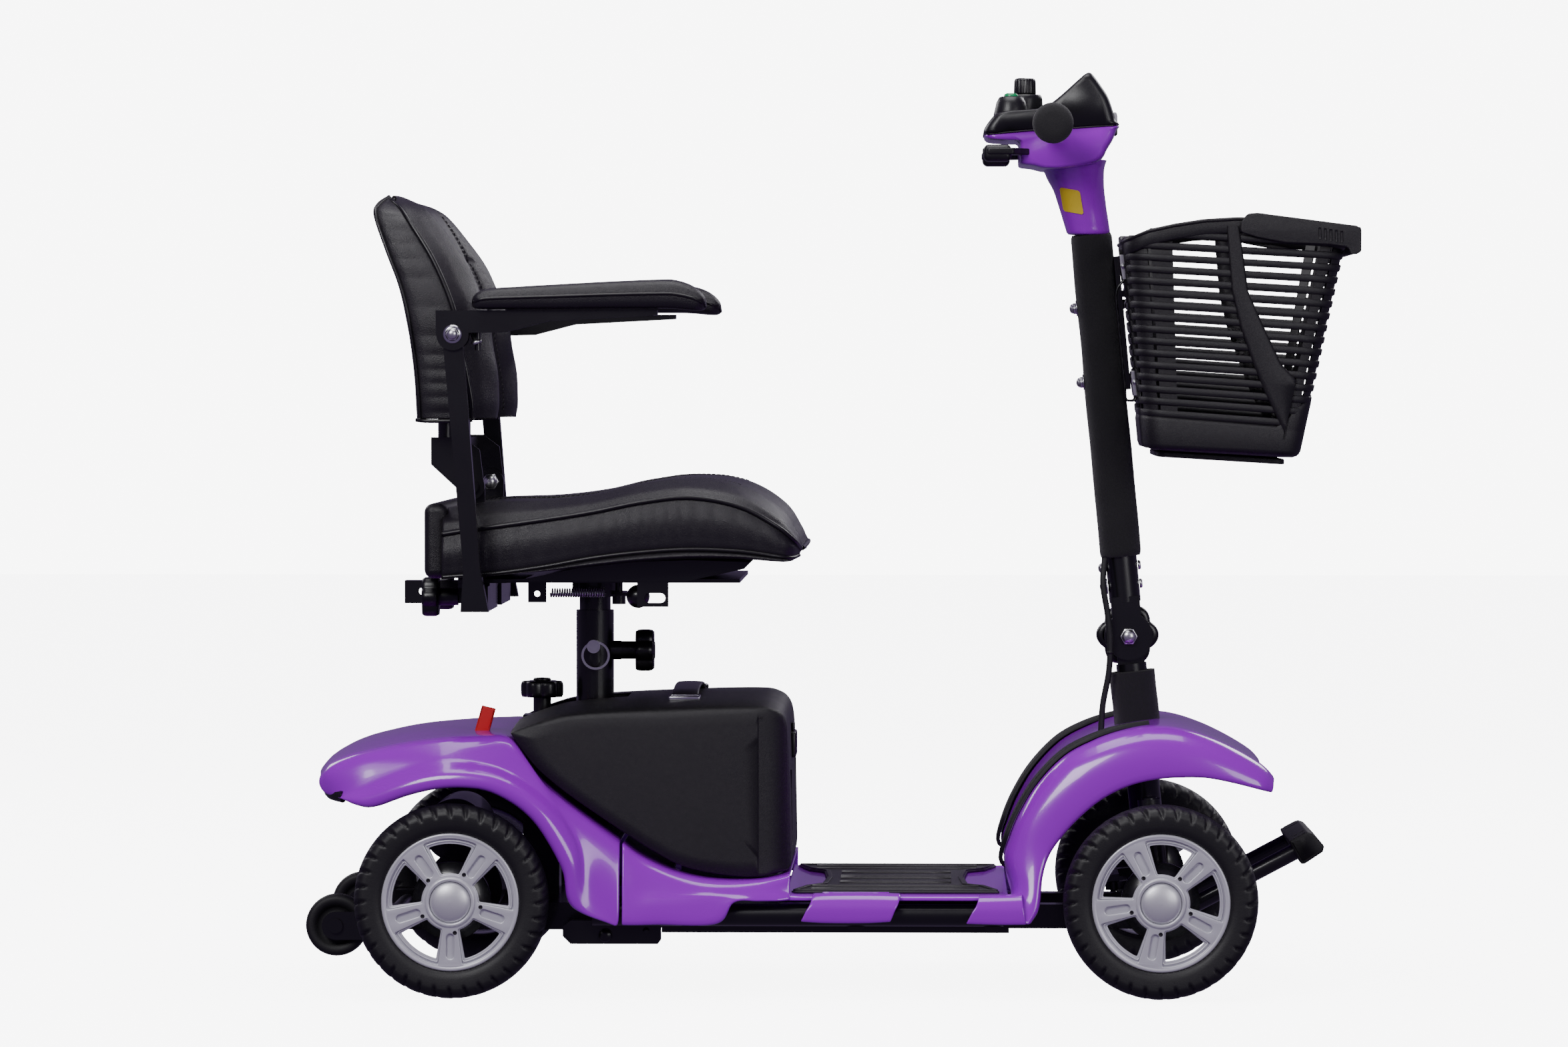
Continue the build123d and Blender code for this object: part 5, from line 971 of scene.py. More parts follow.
def seat_bump(p, t, u):
    x, y, z = p
    a = abs(y)
    d = 0.0
    if t < 1.0:
        # stitched channels: one along each side, one across
        for c, w, h in ((128, 3.2, 2.6),):
            g = (a - c - 10 * math.sin(max(0, u - 0.55) * 3.2)) / w
            d -= h * math.exp(-g * g)
        gx = (x + 300 - a * 0.05) / 3.4
        if a < 128:
            d -= 2.0 * math.exp(-gx * gx)
        # soft creases near the front corners
        d += 0.8 * math.sin(x * 0.13 + y * 0.05) * math.exp(-((a - 165) / 22) ** 2) * max(0, u - 0.3)
    elif t < 1.42:
        d += 0.0
        y += math.copysign(0.9 * math.sin(x * 0.19 + 2 * math.sin(x * 0.033)) * math.sin((t - 1.0) / 0.42 * math.pi), y)
    return (x, y, z + d)


half = row_surface("seat_half", keys, 150, 170, seat_bump)


def close_ends(rows_obj, n_rows, n_pts):
    """Fills the two open ends of a half shell."""
    m = rows_obj.data
    import bmesh

    bm = bmesh.new()
    bm.from_mesh(m)
    bm.verts.ensure_lookup_table()
    for j in (0, n_pts - 1):
        ring = [bm.verts[i * n_pts + j] for i in range(n_rows)]
        c = sum((v.co for v in ring), Vector()) / len(ring)
        mid = bm.verts.new((c.x, 0.0, c.z))
        bm.verts.ensure_lookup_table()
        for a, b in zip(ring, ring[1:]):
            try:
                bm.faces.new((a, b, mid))
            except ValueError:
                pass
    bm.to_mesh(m)
    bm.free()
    m.polygons.foreach_set("use_smooth", [True] * len(m.polygons))
    return rows_obj


half = close_ends(half, 150, 170)
other = mirror_y(half, "seat_half_l")
seat = recalc(join("seat_cushion_look", [half, other]))
put(seat, "seat", "leather", ["seat_cushion"])


def cord_line(name, pts, r, n=160, sides=10):
    return tube(name, pts, r, n=n, sides=sides)


pipes, threads = [], []
for sgn in (-1, 1):
    pp = [(x, sgn * v, z) for (x, z), v in zip(PIPE, [v + 1.6 for v in WP])]
    pipes.append(cord_line("sp", pp, 2.5))
    pp = [(x, sgn * v, z) for (x, z), v in zip(HEM, [v - 0.2 for v in W])]
    pipes.append(cord_line("sh", pp, 2.1))
fr = [(-37, y, 459 + 1.5 * math.cos(y / 160 * 1.5)) for y in np.linspace(-156, 156, 21)]
pipes.append(cord_line("sf", [(x + 1.6 + 2.0 * math.cos(y / 160 * 1.57), y, z) for x, y, z in fr], 2.5))
put(join("seat_piping", pipes), "seat", "piping")

# cover flap at the back of the cushion, in a darker copy of the seat vinyl: painted shade from the backrest above it
fl = box("seat_back_flap", (-424, -176, 428), (-400, 176, 505), 9, 5)
put(fl, "seat", "leather_dark")

# stitches along the channels
import bmesh


def stitches(name, pts, step=5.2, length=3.4, r=0.45):
    n = int(np.linalg.norm(np.diff(np.array(pts, float), axis=0), axis=1).sum() / step)
    q = resample(pts, n * 2 + 1)
    parts = []
    for i in range(0, len(q) - 1, 2):
        a, b = q[i], q[i + 1]
        d = (b - a) / np.linalg.norm(b - a)
        parts.append(tube("st", [tuple(a), tuple(a + d * length)], r, n=2, sides=5, smooth=False))
    return parts


def surface_z(pts_obj, x, y):
    hit = pts_obj.ray_cast(Vector((x * MM, y * MM, 1.2)), Vector((0, 0, -1)))
    return hit[1].z / MM if hit[0] else None


bpy.context.view_layer.update()
th = []
for sgn in (-1, 1):
    for off in (-4.2, 4.2):
        line = []
        for u in np.linspace(0.04, 0.86, 40):
            x = -398 + u * 350
            yv = sgn * (128 + off + 10 * math.sin(max(0, u - 0.55) * 3.2))
            z = surface_z(seat, x, yv)
            if z:
                line.append((x, yv, z + 0.25))
        if len(line) > 3:
            th += stitches("st", line)
for off in (-4.2, 4.2):
    line = []
    for yv in np.linspace(-122, 122, 40):
        x = -300 + off + abs(yv) * 0.05
        z = surface_z(seat, x, yv)
        if z:
            line.append((x, yv, z + 0.25))
    if len(line) > 3:
        th += stitches("st", line)
put(join("seat_stitching", th), "seat", "thread")

# ------------------------------------------------------------------ backrest
# (x, z) from the top down, for the rear skin and the front face
REAR = [(-462, 821), (-473, 812), (-475, 800), (-463, 765), (-449, 728), (-440, 690), (-434, 650), (-431, 615), (-430, 592)]
FMID = [(-456, 822), (-443, 816), (-430, 803), (-414, 765), (-401, 728), (-394, 690), (-389, 650), (-387, 615), (-389, 592)]
FSIDE = [(-454, 821), (-434, 814), (-418, 801), (-390, 765), (-369, 725), (-358, 688), (-352, 650), (-348, 612), (-351, 592)]


def brow(ys, pts):
    q = np.interp(np.linspace(0, 1, len(pts)), np.linspace(0, 1, len(ys)), ys)
    return [(p[0], -v, p[1]) for p, v in zip(pts, q)]


BW = [140, 164, 178, 190, 196, 199, 200, 200, 198]
NEARP = [(-460, 817), (-448, 808), (-437, 793), (-414, 757), (-397, 720), (-387, 688), (-380, 650), (-373, 612), (-372, 592)]
keys = [
    (0.0, brow([0] * 9, FMID)),
    (0.22, brow([v * 0.30 for v in BW], blendpts(FMID, FSIDE, 0.06))),
    (0.40, brow([v * 0.52 for v in BW], blendpts(FMID, FSIDE, 0.45))),
    (0.54, brow([v * 0.68 for v in BW], blendpts(FMID, FSIDE, 0.93))),
    (0.66, brow([v * 0.80 for v in BW], FSIDE)),
    (0.80, brow([v * 0.92 for v in BW], blendpts(FSIDE, NEARP, 0.45))),
    (0.92, brow([v * 0.985 for v in BW], blendpts(FSIDE, NEARP, 0.88))),
    (1.00, brow(BW, NEARP)),
    (1.08, brow([v + 1.8 for v in BW], blendpts(NEARP, REAR, 0.14))),
    (1.25, brow([v + 2.0 for v in BW], blendpts(NEARP, REAR, 0.45))),
    (1.42, brow([v + 0.5 for v in BW], blendpts(NEARP, REAR, 0.78))),
    (1.52, brow([v - 7 for v in BW], blendpts(NEARP, REAR, 0.97))),
    (1.66, brow([v * 0.85 for v in BW], REAR)),
    (2.0, brow([0] * 9, [(x - 1, z) for x, z in REAR])),
]


def back_bump(p, t, u):
    x, y, z = p
    a = abs(y)
    if t < 1.0:
        d = 0.0
        g = (a - 116 + 12 * (1 - u)) / 3.4
        d -= 2.8 * math.exp(-g * g)
        for c in (0.36, 0.62):
            if a < 118:
                gg = (u - c) * 230 / 3.4
                d -= 2.2 * math.exp(-gg * gg)
        d += 0.7 * math.sin(z * 0.11 + y * 0.04) * math.exp(-((a - 160) / 24) ** 2)
        return (x + d, y, z)
    if t < 1.5:
        y += math.copysign(0.8 * math.sin(z * 0.16 + 1.7 * math.sin(z * 0.04)) * math.sin((t - 1) / 0.5 * math.pi), y)
    elif t > 1.6:
        x -= 0.9 * math.sin(z * 0.07) * math.sin(y * 0.035)
    return (x, y, z)


half = row_surface("back_half", keys, 150, 150, back_bump)
half = close_ends(half, 150, 150)
other = mirror_y(half, "back_half_l")
back = recalc(join("backrest_look", [half, other]))
put(back, "backrest", "leather", ["backrest_cushion"])
pipes = []
for sgn in (-1, 1):
    pipes.append(cord_line("bp", [(x, sgn * (v + 1.4), z) for (x, z), v in zip(NEARP, BW)], 2.5))
    pipes.append(cord_line("br", [(x - 0.5, sgn * (v - 2.5), z) for (x, z), v in zip(blendpts(NEARP, REAR, 0.93), BW)], 2.1))
    pipes.append(cord_line("bh", [(-372, sgn * 199.5, 591), (-392, sgn * 201, 590), (-420, sgn * 199, 590), (-430, sgn * 192, 591)], 2.1))
pipes.append(cord_line("bt", [(-457 - 3 * math.cos(y / 142 * 1.57), y, 819.6 + 2.4 * math.cos(y / 142 * 1.57)) for y in np.linspace(-141, 141, 17)], 2.4))
put(join("backrest_piping", pipes), "backrest", "piping")

bpy.context.view_layer.update()


def front_x(o, y, z):
    hit = o.ray_cast(Vector((0.0, y * MM, z * MM)), Vector((-1, 0, 0)))
    return hit[1].x / MM if hit[0] else None


th = []
for sgn in (-1, 1):
    for off in (-4.4, 4.4):
        line = []
        for zz in np.linspace(806, 598, 40):
            u = (818 - zz) / 228
            yv = sgn * (116 - 12 * (1 - u) + off)
            xx = front_x(back, yv, zz)
            if xx:
                line.append((xx + 0.25, yv, zz))
        if len(line) > 3:
            th += stitches("bs", line)
put(join("backrest_stitching", th), "backrest", "thread")

# ------------------------------------------------------------------ armrest pads
PAD_T = [(-370, 712), (-366, 719), (-354, 724.5), (-320, 727), (-286, 729), (-230, 732), (-180, 734), (-163, 733.5), (-146, 728), (-134, 718), (-131, 707)]
PAD_B = [(-370, 708), (-366, 704.5), (-354, 704), (-320, 704), (-286, 704), (-230, 704.5), (-180, 704.5), (-163, 704), (-146, 702.5), (-136, 702.5), (-132, 705)]
for tag, sgn in (("right", -1), ("left", 1)):
    rows = []
    for f, wdt in ((0.0, 0.0), (0.02, 0.55), (0.06, 0.8), (0.16, 0.94), (0.30, 0.985), (0.46, 1.0), (0.54, 1.0), (0.72, 0.985), (0.88, 0.93), (0.97, 0.80), (1.0, 0.55), (1.0, 0.0)):
        base = blendpts(PAD_T, PAD_B, f)
        r = []
        for j, (x, z) in enumerate(resample([(x, 0, z) for x, z in base], 90)[:, [0, 2]]):
            u = j / 89
            e = min(1.0, math.sqrt(max(0.0, 1 - max(0.0, (0.07 - u) / 0.07) ** 2)) + 0.12) * min(1.0, math.sqrt(max(0.0, 1 - max(0.0, (u - 0.9) / 0.1) ** 2)) + 0.15)
            zz = z - (0 if f > 0.4 else 1.2 * (wdt ** 6) * 2)
            r.append((x, -24 * wdt * e, zz))
        rows.append(r)
    h1 = loft("pad_h", rows)
    h2 = mirror_y(h1, "pad_h2")
    pad = recalc(join("pad", [h1, h2]))
    co = np.array([v.co for v in pad.data.vertices], np.float32).reshape(-1, 3)
    co[:, 1] += sgn * 0.236
    pad.data.vertices.foreach_set("co", co.ravel())
    pad.name = f"arm_pad_{tag}_look"
    put(pad, f"armrest_{tag}", "leather", [f"arm_pad_{tag}"])
    mid = blendpts(PAD_T, PAD_B, 0.5)
    line = []
    for x, z in mid[1:-1]:
        line.append((x, z))
    pr = []
    q = resample([(x, 0, z) for x, z in line], 80)
    for s2 in (-1, 1):
        seg = []
        for j, p in enumerate(q):
            u = (p[0] + 370) / 239
            e = min(1.0, math.sqrt(max(0.0, 1 - max(0.0, (0.07 - u) / 0.07) ** 2)) + 0.12) * min(1.0, math.sqrt(max(0.0, 1 - max(0.0, (u - 0.9) / 0.1) ** 2)) + 0.15)
            seg.append((p[0], sgn * 236 + s2 * 24.2 * e, p[2]))
        pr.append(seg)
    loop = pr[0] + pr[1][::-1]
    t = tube(f"arm_pad_piping_{tag}", loop + [loop[0]], 1.6, n=220, sides=8)
    put(t, f"armrest_{tag}", "piping")
    # bolt and washer at the flip pivot, and the adjusting screw below the pad
    bits = [paint(acorn("pv", (-389, sgn * 247.6, 678.5), (0, sgn, 0), 6.4, 7), "zinc"), paint(lathe("pw", [(0.01, 0), (9.5, 0), (9.5, 1.2), (6, 1.4)], (-389, sgn * 247.2, 678.5), (0, sgn, 0), 32), "steel")]
    put(join(f"arm_pivot_{tag}_look", bits), f"armrest_{tag}", None)
    sc = [paint(lathe("as", [(0.01, -14), (3.2, -14), (3.2, 0), (5.5, 0), (5.5, 3.4), (0.01, 3.8)], (-366, sgn * 236, 672), (0.35, 0, -0.94), 24), "zinc")]
    put(join(f"arm_screw_{tag}_look", sc), f"armrest_{tag}", None)


# ------------------------------------------------------------------ tiller
TAN = math.radians(5.4)


def til(xf, y, l):
    """Tiller coordinates (forward of the tube, across, up the tube) to the row frame."""
    return (304.2 + xf * math.cos(TAN) - l * math.sin(TAN), y, 362.9 + xf * math.sin(TAN) + l * math.cos(TAN))


def sleeve(name, lo, hi, r, body, node, wob=0.5):
    rows = []
    n = 120
    for k in range(64):
        a = TAU * k / 64
        row = []
        for i in range(n):
            u = i / (n - 1)
            l = lo + (hi - lo) * u
            e = min(1.0, 0.93 + u * 6, 0.93 + (1 - u) * 6)
            rr = r * e + wob * (math.sin(l * 0.052 + 1.3) * math.cos(a + l * 0.01) + 0.6 * math.sin(l * 0.13) * math.sin(2 * a))
            row.append(til(rr * math.cos(a), rr * math.sin(a), l))
        rows.append([til(16.6 * math.cos(a), 16.6 * math.sin(a), lo - 0.2)] + row + [til(16.6 * math.cos(a), 16.6 * math.sin(a), hi + 0.2)])
    o = recalc(loft(name, rows, closed_u=True))
    return put(o, body, "foam", [node])


sleeve("tiller_foam_look", 84, 424, 21.7, "tiller", "tiller_foam")

# stem sleeve on the lower column, leaning with the steering axis
SAN = math.radians(5.8)
rows = []
for k in range(64):
    a = TAU * k / 64
    row = []
    for i in range(40):
        l = 169.5 + 58 * i / 39
        rr = 20.4 + 0.25 * math.sin(l * 0.11) * math.cos(a)
        row.append((331 + rr * math.cos(a) * math.cos(SAN) - l * math.sin(SAN), rr * math.sin(a), 100 + rr * math.cos(a) * math.sin(SAN) + l * math.cos(SAN)))
    rows.append(row)
o = loft("stem_foam_look", rows, closed_u=True)
mod(o, "SOLIDIFY", thickness=3.6 * MM, offset=-1.0)
put(recalc(apply(o)), "steering_stem", "foam", ["stem_foam"])

# domed nuts and washers on the tiller bolts
bits = []
for l, back, front in ((54, -16.8, 16.8), (73.4, -16.8, 16.8), (269.8, -21.4, 26.7), (347.6, -21.4, 26.7)):
    c = til(back, 0, l)
    ax = (-math.cos(TAN), 0, -math.sin(TAN))
    bits.append(paint(lathe("w", [(0.01, 0), (8.2, 0), (8.2, 1.3), (5, 1.4)], c, ax, 32), "steel"))
    bits.append(paint(acorn("n", til(back - 1.2, 0, l), ax, 6.0, 7.2), "zinc"))
    ax2 = (math.cos(TAN), 0, math.sin(TAN))
    bits.append(paint(bolt_head("h", til(front, 0, l), ax2, 5.0, 3.2), "zinc"))
put(join("tiller_bolts_look", bits), "tiller", None, ["tiller_bolts"])

# basket clips and the wire between them
bits = []
for y in (-20,):
    for l in (387, 262):
        pass
clip = []
for (x0, z0), (x1, z1) in (((297.0, 763.0), (299.5, 737.5)), ((309.4, 641.5), (311.2, 616.0))):
    ang = math.atan2(x1 - x0, z0 - z1)
    for y in (-26, 26):
        q = plate("cl", [rounded([(-3.4, 0), (3.4, 0), (3.4, -12), (2.4, -26), (-2.4, -26), (-3.4, -12)], 1.0)], 0, 1.4, bevel=0.3, frame_of=lambda a, b, d, x0=x0, z0=z0, y=y, ang=ang: (x0 + a * math.cos(ang) - b * math.sin(ang), y + d, z0 + a * math.sin(ang) + b * math.cos(ang)))
        clip.append(paint(q, "zinc"))
        clip.append(paint(acorn("cn", (x0 + 0.6, y + (-0.2 if y < 0 else 1.6), z0 - 12), (0, -1 if y < 0 else 1, 0), 2.6, 3.4), "zinc"))
put(join("basket_clips", clip), "tiller", None)
wires = []
for y in (-24, 24):
    wires.append(tube("wr", [(299.5, y, 741), (298.5, y, 736), (292.0, y, 728), (290.5, y, 716), (293, y, 690), (299.5, y, 625), (300.5, y, 613), (303, y, 610.5), (310.5, y, 611), (311.2, y, 617)], 1.25, n=70, sides=8))
put(join("basket_wire", wires), "tiller", "frame")

# foam grips with a ball end
for tag, sgn in (("right", -1), ("left", 1)):
    prof = [(11.5, 106), (16.0, 106.6), (17.0, 109), (17.2, 140), (17.6, 175), (17.0, 190), (17.6, 196), (19.6, 200.5), (20.9, 206), (20.4, 211.0), (17.0, 214.6), (10.0, 215.9), (0.01, 216.1)]
    o = lathe(f"grip_{tag}_look", prof, (220.8, 0, 893.6), (0, sgn, 0), 64)
    put(o, "tiller", "grip", ["hand_grips"] if sgn < 0 else ())

# ------------------------------------------------------------------ tiller head
# lower purple shell: side outline swept across the width, with the neck below it
def head_shell(name, outline, half_w, depth_pts, mat_, node, body="tiller", centre=None):
    """outline is a closed (x, z) loop; depth_pts lists (y fraction, scale) from the middle outward."""
    cx = np.mean([p[0] for p in outline])
    cz = np.mean([p[1] for p in outline])
    if centre:
        cx, cz = centre
    rows = []
    for f, sc in depth_pts:
        rows.append([(cx + (x - cx) * sc, -half_w * f, cz + (z - cz) * sc) for x, z in outline])
    rows = [resample(r + [r[0]], 141)[:-1] for r in rows]
    h = loft(name, rows, closed_v=True)
    # close the outer end
    import bmesh

    bm = bmesh.new()
    bm.from_mesh(h.data)
    bm.verts.ensure_lookup_table()
    n = 140
    last = [bm.verts[(len(rows) - 1) * n + j] for j in range(n)]
    bm.faces.new(last)
    bm.to_mesh(h.data)
    bm.free()
    h.data.polygons.foreach_set("use_smooth", [True] * len(h.data.polygons))
    h2 = mirror_y(h, name + "_l")
    o = recalc(join(name, [h, h2]))
    return put(o, body, mat_, [node] if node else [])


UPPER = [(151, 888), (152, 894), (158, 903), (164, 909), (175, 912), (190, 913), (204, 914), (214, 916), (224, 922), (236, 932), (247, 942), (257, 950.5), (262, 952), (266, 949), (274, 938), (281, 927), (286, 913), (289, 902), (289.5, 897), (240, 894), (190, 891), (160, 888)]
depth = [(0, 1.0), (0.6, 1.0), (0.84, 0.99), (0.94, 0.965), (0.985, 0.92), (1.0, 0.86)]
head_shell("tiller_cover_look", UPPER, 72, depth, "satin", "tiller_cover", centre=(228, 902))
LOWER = [(152, 887), (190, 890.5), (240, 893.5), (289, 896.5), (290, 893), (286, 882), (280, 872), (276, 864), (268, 858), (250, 854), (232, 851.5), (214, 851.5), (203, 854), (192, 855.5), (188.5, 857), (188, 866), (187, 880), (170, 881.5), (155, 883)]
head_shell("tiller_shroud_look", LOWER, 71.6, [(0, 1.0), (0.6, 1.0), (0.84, 0.99), (0.94, 0.97), (0.985, 0.93), (1.0, 0.86)], "purple", "tiller_shroud", centre=(232, 880))
# neck, blending from the shell down round the tube
rows = []
for z, xl, xr, hw in ((862, 198, 281, 58), (856, 210, 279.0, 48), (850, 215, 278.2, 43), (842, 218.5, 278, 38), (830, 225, 278.6, 32), (812, 231, 280.8, 27.5), (794, 236.5, 283.6, 25), (785.5, 239.5, 284.2, 24), (784.0, 244, 281, 20)):
    c, a = (xl + xr) / 2, (xr - xl) / 2
    row = []
    for k in range(64):
        t = TAU * k / 64
        e = 2.15
        cs, sn = math.cos(t), math.sin(t)
        row.append((c + a * math.copysign(abs(cs) ** (2 / e), cs), hw * math.copysign(abs(sn) ** (2 / e), sn), z))
    rows.append(row)
rows = [list(r) for r in np.array([resample([rows[i][k] for i in range(len(rows))], 50) for k in range(64)]).transpose(1, 0, 2)]
put(recalc(loft("tiller_neck_look", rows, closed_v=True)), "tiller", "purple")
# seam between the shells, along each side
sm = []
for sgn in (-1, 1):
    sm.append(tube("s", [(155, sgn * 70.5, 886.8), (190, sgn * 72, 890.4), (240, sgn * 72, 893.4), (287, sgn * 71.2, 896.2)], 0.7, n=40, sides=6))
put(join("head_seam", sm), "tiller", "frame")
# dial collar, button and bezel, lights and charger socket on the front
bits = [paint(lathe("dc", [(0.01, 931), (16.5, 931), (17.5, 929.5), (18.5, 926), (19.0, 915), (19.0, 905)], (195, 0, 0), (0, 0, 1), 48), "satin")]
for y in (-42, 42):
    bits.append(paint(lathe("tw", [(0.01, 927.4), (10.5, 927.4), (12.6, 926.4), (15.5, 921), (17.5, 912), (18.5, 902)], (180, y, 0), (0, 0, 1), 40), "satin"))
put(join("head_details", bits), "tiller", None)
sock = [paint(box("so", (286.5, -13, 898.5), (291.5, 13, 912.5), 2.4), "white"), paint(box("sc", (286.5, -12, 888), (292.0, 12, 897.5), 2.0), "satin"), paint(box("sd", (290.6, -5.5, 901), (292.0, 5.5, 909.5), 1.4), "satin")]
put(join("charge_socket", sock), "tiller", None)
# knurled dial with a pointer
rows = []
for k in range(144):
    a = TAU * k / 144
    kn = 0.55 * (0.5 + 0.5 * math.cos(24 * a))
    rows.append([(195 + r * math.cos(a), r * math.sin(a), z) for r, z in ((9.0, 931.4), (11.6 - kn * 0.3, 931.6), (11.8 - kn, 933), (11.4 - kn, 945), (10.6 - kn * 0.5, 947.4), (8.8, 948.2), (0.01, 948.4))])
d = paint(recalc(loft("dial", rows, closed_u=True)), "knob")
pt = paint(box("dp", (188, -0.8, 948.0), (195, 0.8, 948.9), 0.3), "white")
put(join("speed_dial_look", [d, pt]), "speed_dial", None, ["speed_dial"])
bt = lathe("horn_look", [(0.01, 931.2), (4.4, 931.0), (6.8, 930.0), (7.6, 928.4), (7.6, 924)], (180, -42, 0), (0, 0, 1), 40)
put(bt, "horn_button", "green", ["horn_button"])

# throttle paddles
tp = []
tp.append(plate("tb", [rounded([(203, -40), (233, -36), (233, 36), (203, 40)], 5)], 864.5, 873.5, bevel=1.2, frame_of=lambda a, b, d: (a, b, d)))
for sgn in (-1, 1):
    tp.append(plate("ta", [rounded([(232, sgn * 30), (206, sgn * 30), (186, sgn * 62), (152, sgn * 64), (150, sgn * 72), (150, sgn * 88), (156, sgn * 94), (182, sgn * 94), (189, sgn * 84), (200, sgn * 70), (230, sgn * 44)], 4)], 865.5, 872.5, bevel=1.6, frame_of=lambda a, b, d: (a, b, d)))
    tp.append(box("tq", (151, min(sgn * 65, sgn * 93), 858.5), (180, max(sgn * 65, sgn * 93), 876.0), 5.5, 5))
put(join("throttle_look", tp), "throttle_lever", "satin", ["throttle_lever"])
# plain round sticker on the neck


def neck_at(z):
    zs = [784, 785.5, 794, 812, 830, 842]
    xl = float(np.interp(z, zs, [244, 239.5, 236.5, 231, 225, 218.5]))
    xr = float(np.interp(z, zs, [281, 284.2, 283.6, 280.8, 278.6, 278]))
    hw = float(np.interp(z, zs, [20, 24, 25, 27.5, 32, 38]))
    return (xl + xr) / 2, (xr - xl) / 2, hw


rows = []
for v in np.linspace(-1, 1, 14):
    row = []
    for u in np.linspace(-1, 1, 14):
        # a rounded square, turned with the neck
        uu = u * min(1.0, math.sqrt(max(0.0, 1 - max(0.0, (abs(v) - 0.82) / 0.18) ** 2)) * 0.16 + 0.84)
        z = 819 + 12.4 * v - 2.0 * uu
        c, a, hw = neck_at(z)
        x = max(c - a * 0.985, 243.5 - 2.2 * v + 10.6 * uu)
        y = -hw * (1 - min(0.999, abs((x - c) / a)) ** 2.15) ** (1 / 2.15) - 0.9
        row.append((x, y, z))
    rows.append(row)
put(loft("neck_sticker", rows), "tiller", "yellow")


# ------------------------------------------------------------------ basket
def lin(x, table):
    xs = [t[0] for t in table]
    vs = [t[1] for t in table]
    return float(np.interp(x, xs, vs))


def rib_back(z):
    return lin(z, [(560, 468), (619, 438.8), (647.4, 427.5), (685, 414.3), (722.7, 405.4), (800, 399)])


def rib_front(z):
    return lin(z, [(560, 500), (619, 486.8), (647.4, 457.6), (685, 439.7), (722.7, 422.8), (800, 412)])


def wall_front(z):
    return 476.4 + (z - 558.9) * (524.5 - 476.4) / (781 - 558.9)


def wall_rear(z):
    return 317.9 + (z - 572.5) * (298.3 - 317.9) / (776.2 - 572.5)


def rim_z(x):
    return lin(x, [(296, 775.5), (321, 785.8), (347.4, 791.5), (377.6, 796.2), (411.5, 798.1), (440, 797.2), (526, 781)])


R_REAR, R_FRONT, HALF = 26.0, 22.0, 145.0


def wall_path(z, out=0.0, rear_in=0.0):
    """Plan outline of the basket wall at height z on the right-hand side, from the middle of the back to the middle of the front."""
    xr, xf = wall_rear(z), wall_front(z)
    hw = HALF - 0.012 * (781 - z) + out
    pts = [(xr - out, 0), (xr - out, -(hw - R_REAR))]
    pts += [(xr + R_REAR - (R_REAR + out) * math.cos(t), -(hw - R_REAR - out) - (R_REAR + out) * math.sin(t)) for t in np.linspace(0.12, math.pi / 2, 8)]
    pts += [(xf - R_FRONT + (R_FRONT + out) * math.sin(t), -(hw - R_FRONT - out) - (R_FRONT + out) * math.cos(t)) for t in np.linspace(0, math.pi / 2 - 0.12, 8)]
    pts += [(xf + out, -(hw - R_FRONT)), (xf + out, 0)]
    return pts


def resample2(pts, n):
    p = np.array(pts, float)
    s = np.concatenate([[0], np.cumsum(np.linalg.norm(np.diff(p, axis=0), axis=1))])
    t = np.linspace(0, s[-1], n)
    return np.column_stack([np.interp(t, s, p[:, k]) for k in range(p.shape[1])])


def band(name, z_of_lo, z_of_hi, thick=2.6, out=0.0, n=130, x0=None, x1=None):
    """A strip of wall between two height functions, running right round; x0 and x1 are not used."""
    rows_lo, rows_hi = [], []
    base = resample2(wall_path(680, 0), n)
    for i in range(n):
        pass
    rows = []
    for f in (0.0, 0.5, 1.0):
        row = []
        for i in range(n):
            bx, by = base[i]
            u = i / (n - 1)
            zl, zh = z_of_lo(bx, by), z_of_hi(bx, by)
            z = zl + (zh - zl) * f
            w = resample2(wall_path(z, out), n)[i] if False else None
            row.append((bx, by, z))
        rows.append(row)
    # move each point to the wall at its own height
    out_rows = []
    for row in rows:
        new = []
        for i, (bx, by, z) in enumerate(row):
            xr, xf = wall_rear(z), wall_front(z)
            xr0, xf0 = wall_rear(680), wall_front(680)
            k = (bx - xr0) / (xf0 - xr0)
            hw0 = HALF - 0.012 * (781 - 680)
            hw = HALF - 0.012 * (781 - z)
            new.append((xr + (xf - xr) * k, by * hw / hw0, z))
        out_rows.append(new)
    return out_rows


def wall_strip(name, pieces, thick=2.8):
    objs = []
    for rows in pieces:
        objs.append(loft("w", rows))
    o = join(name, objs)
    return o


parts = []
N = 140
BASE = resample2(wall_path(680, 0), N)
XR0, XF0, HW0 = wall_rear(680), wall_front(680), HALF - 0.012 * (781 - 680)


def on_wall(i, z, off=0.0):
    """Point i of the plan outline, moved to height z, pushed outward by off."""
    bx, by = BASE[i]
    a = BASE[max(i - 1, 0)]
    b = BASE[min(i + 1, N - 1)]
    d = (b - a) / np.linalg.norm(b - a)
    nx, ny = d[1], -d[0]
    k = (bx - XR0) / (XF0 - XR0)
    hw = HALF - 0.012 * (781 - z)
    x = wall_rear(z) + (wall_front(z) - wall_rear(z)) * k
    y = by * hw / HW0
    return (x - nx * -off if False else x + nx * off * (1 if ny * 0 == 0 else 1), y + ny * off, z)


# make sure the offset points away from the middle of the basket
_p = on_wall(N // 2, 680, 1.0)
_q = on_wall(N // 2, 680, 0.0)
FLIP = 1.0 if abs(_p[1]) > abs(_q[1]) else -1.0


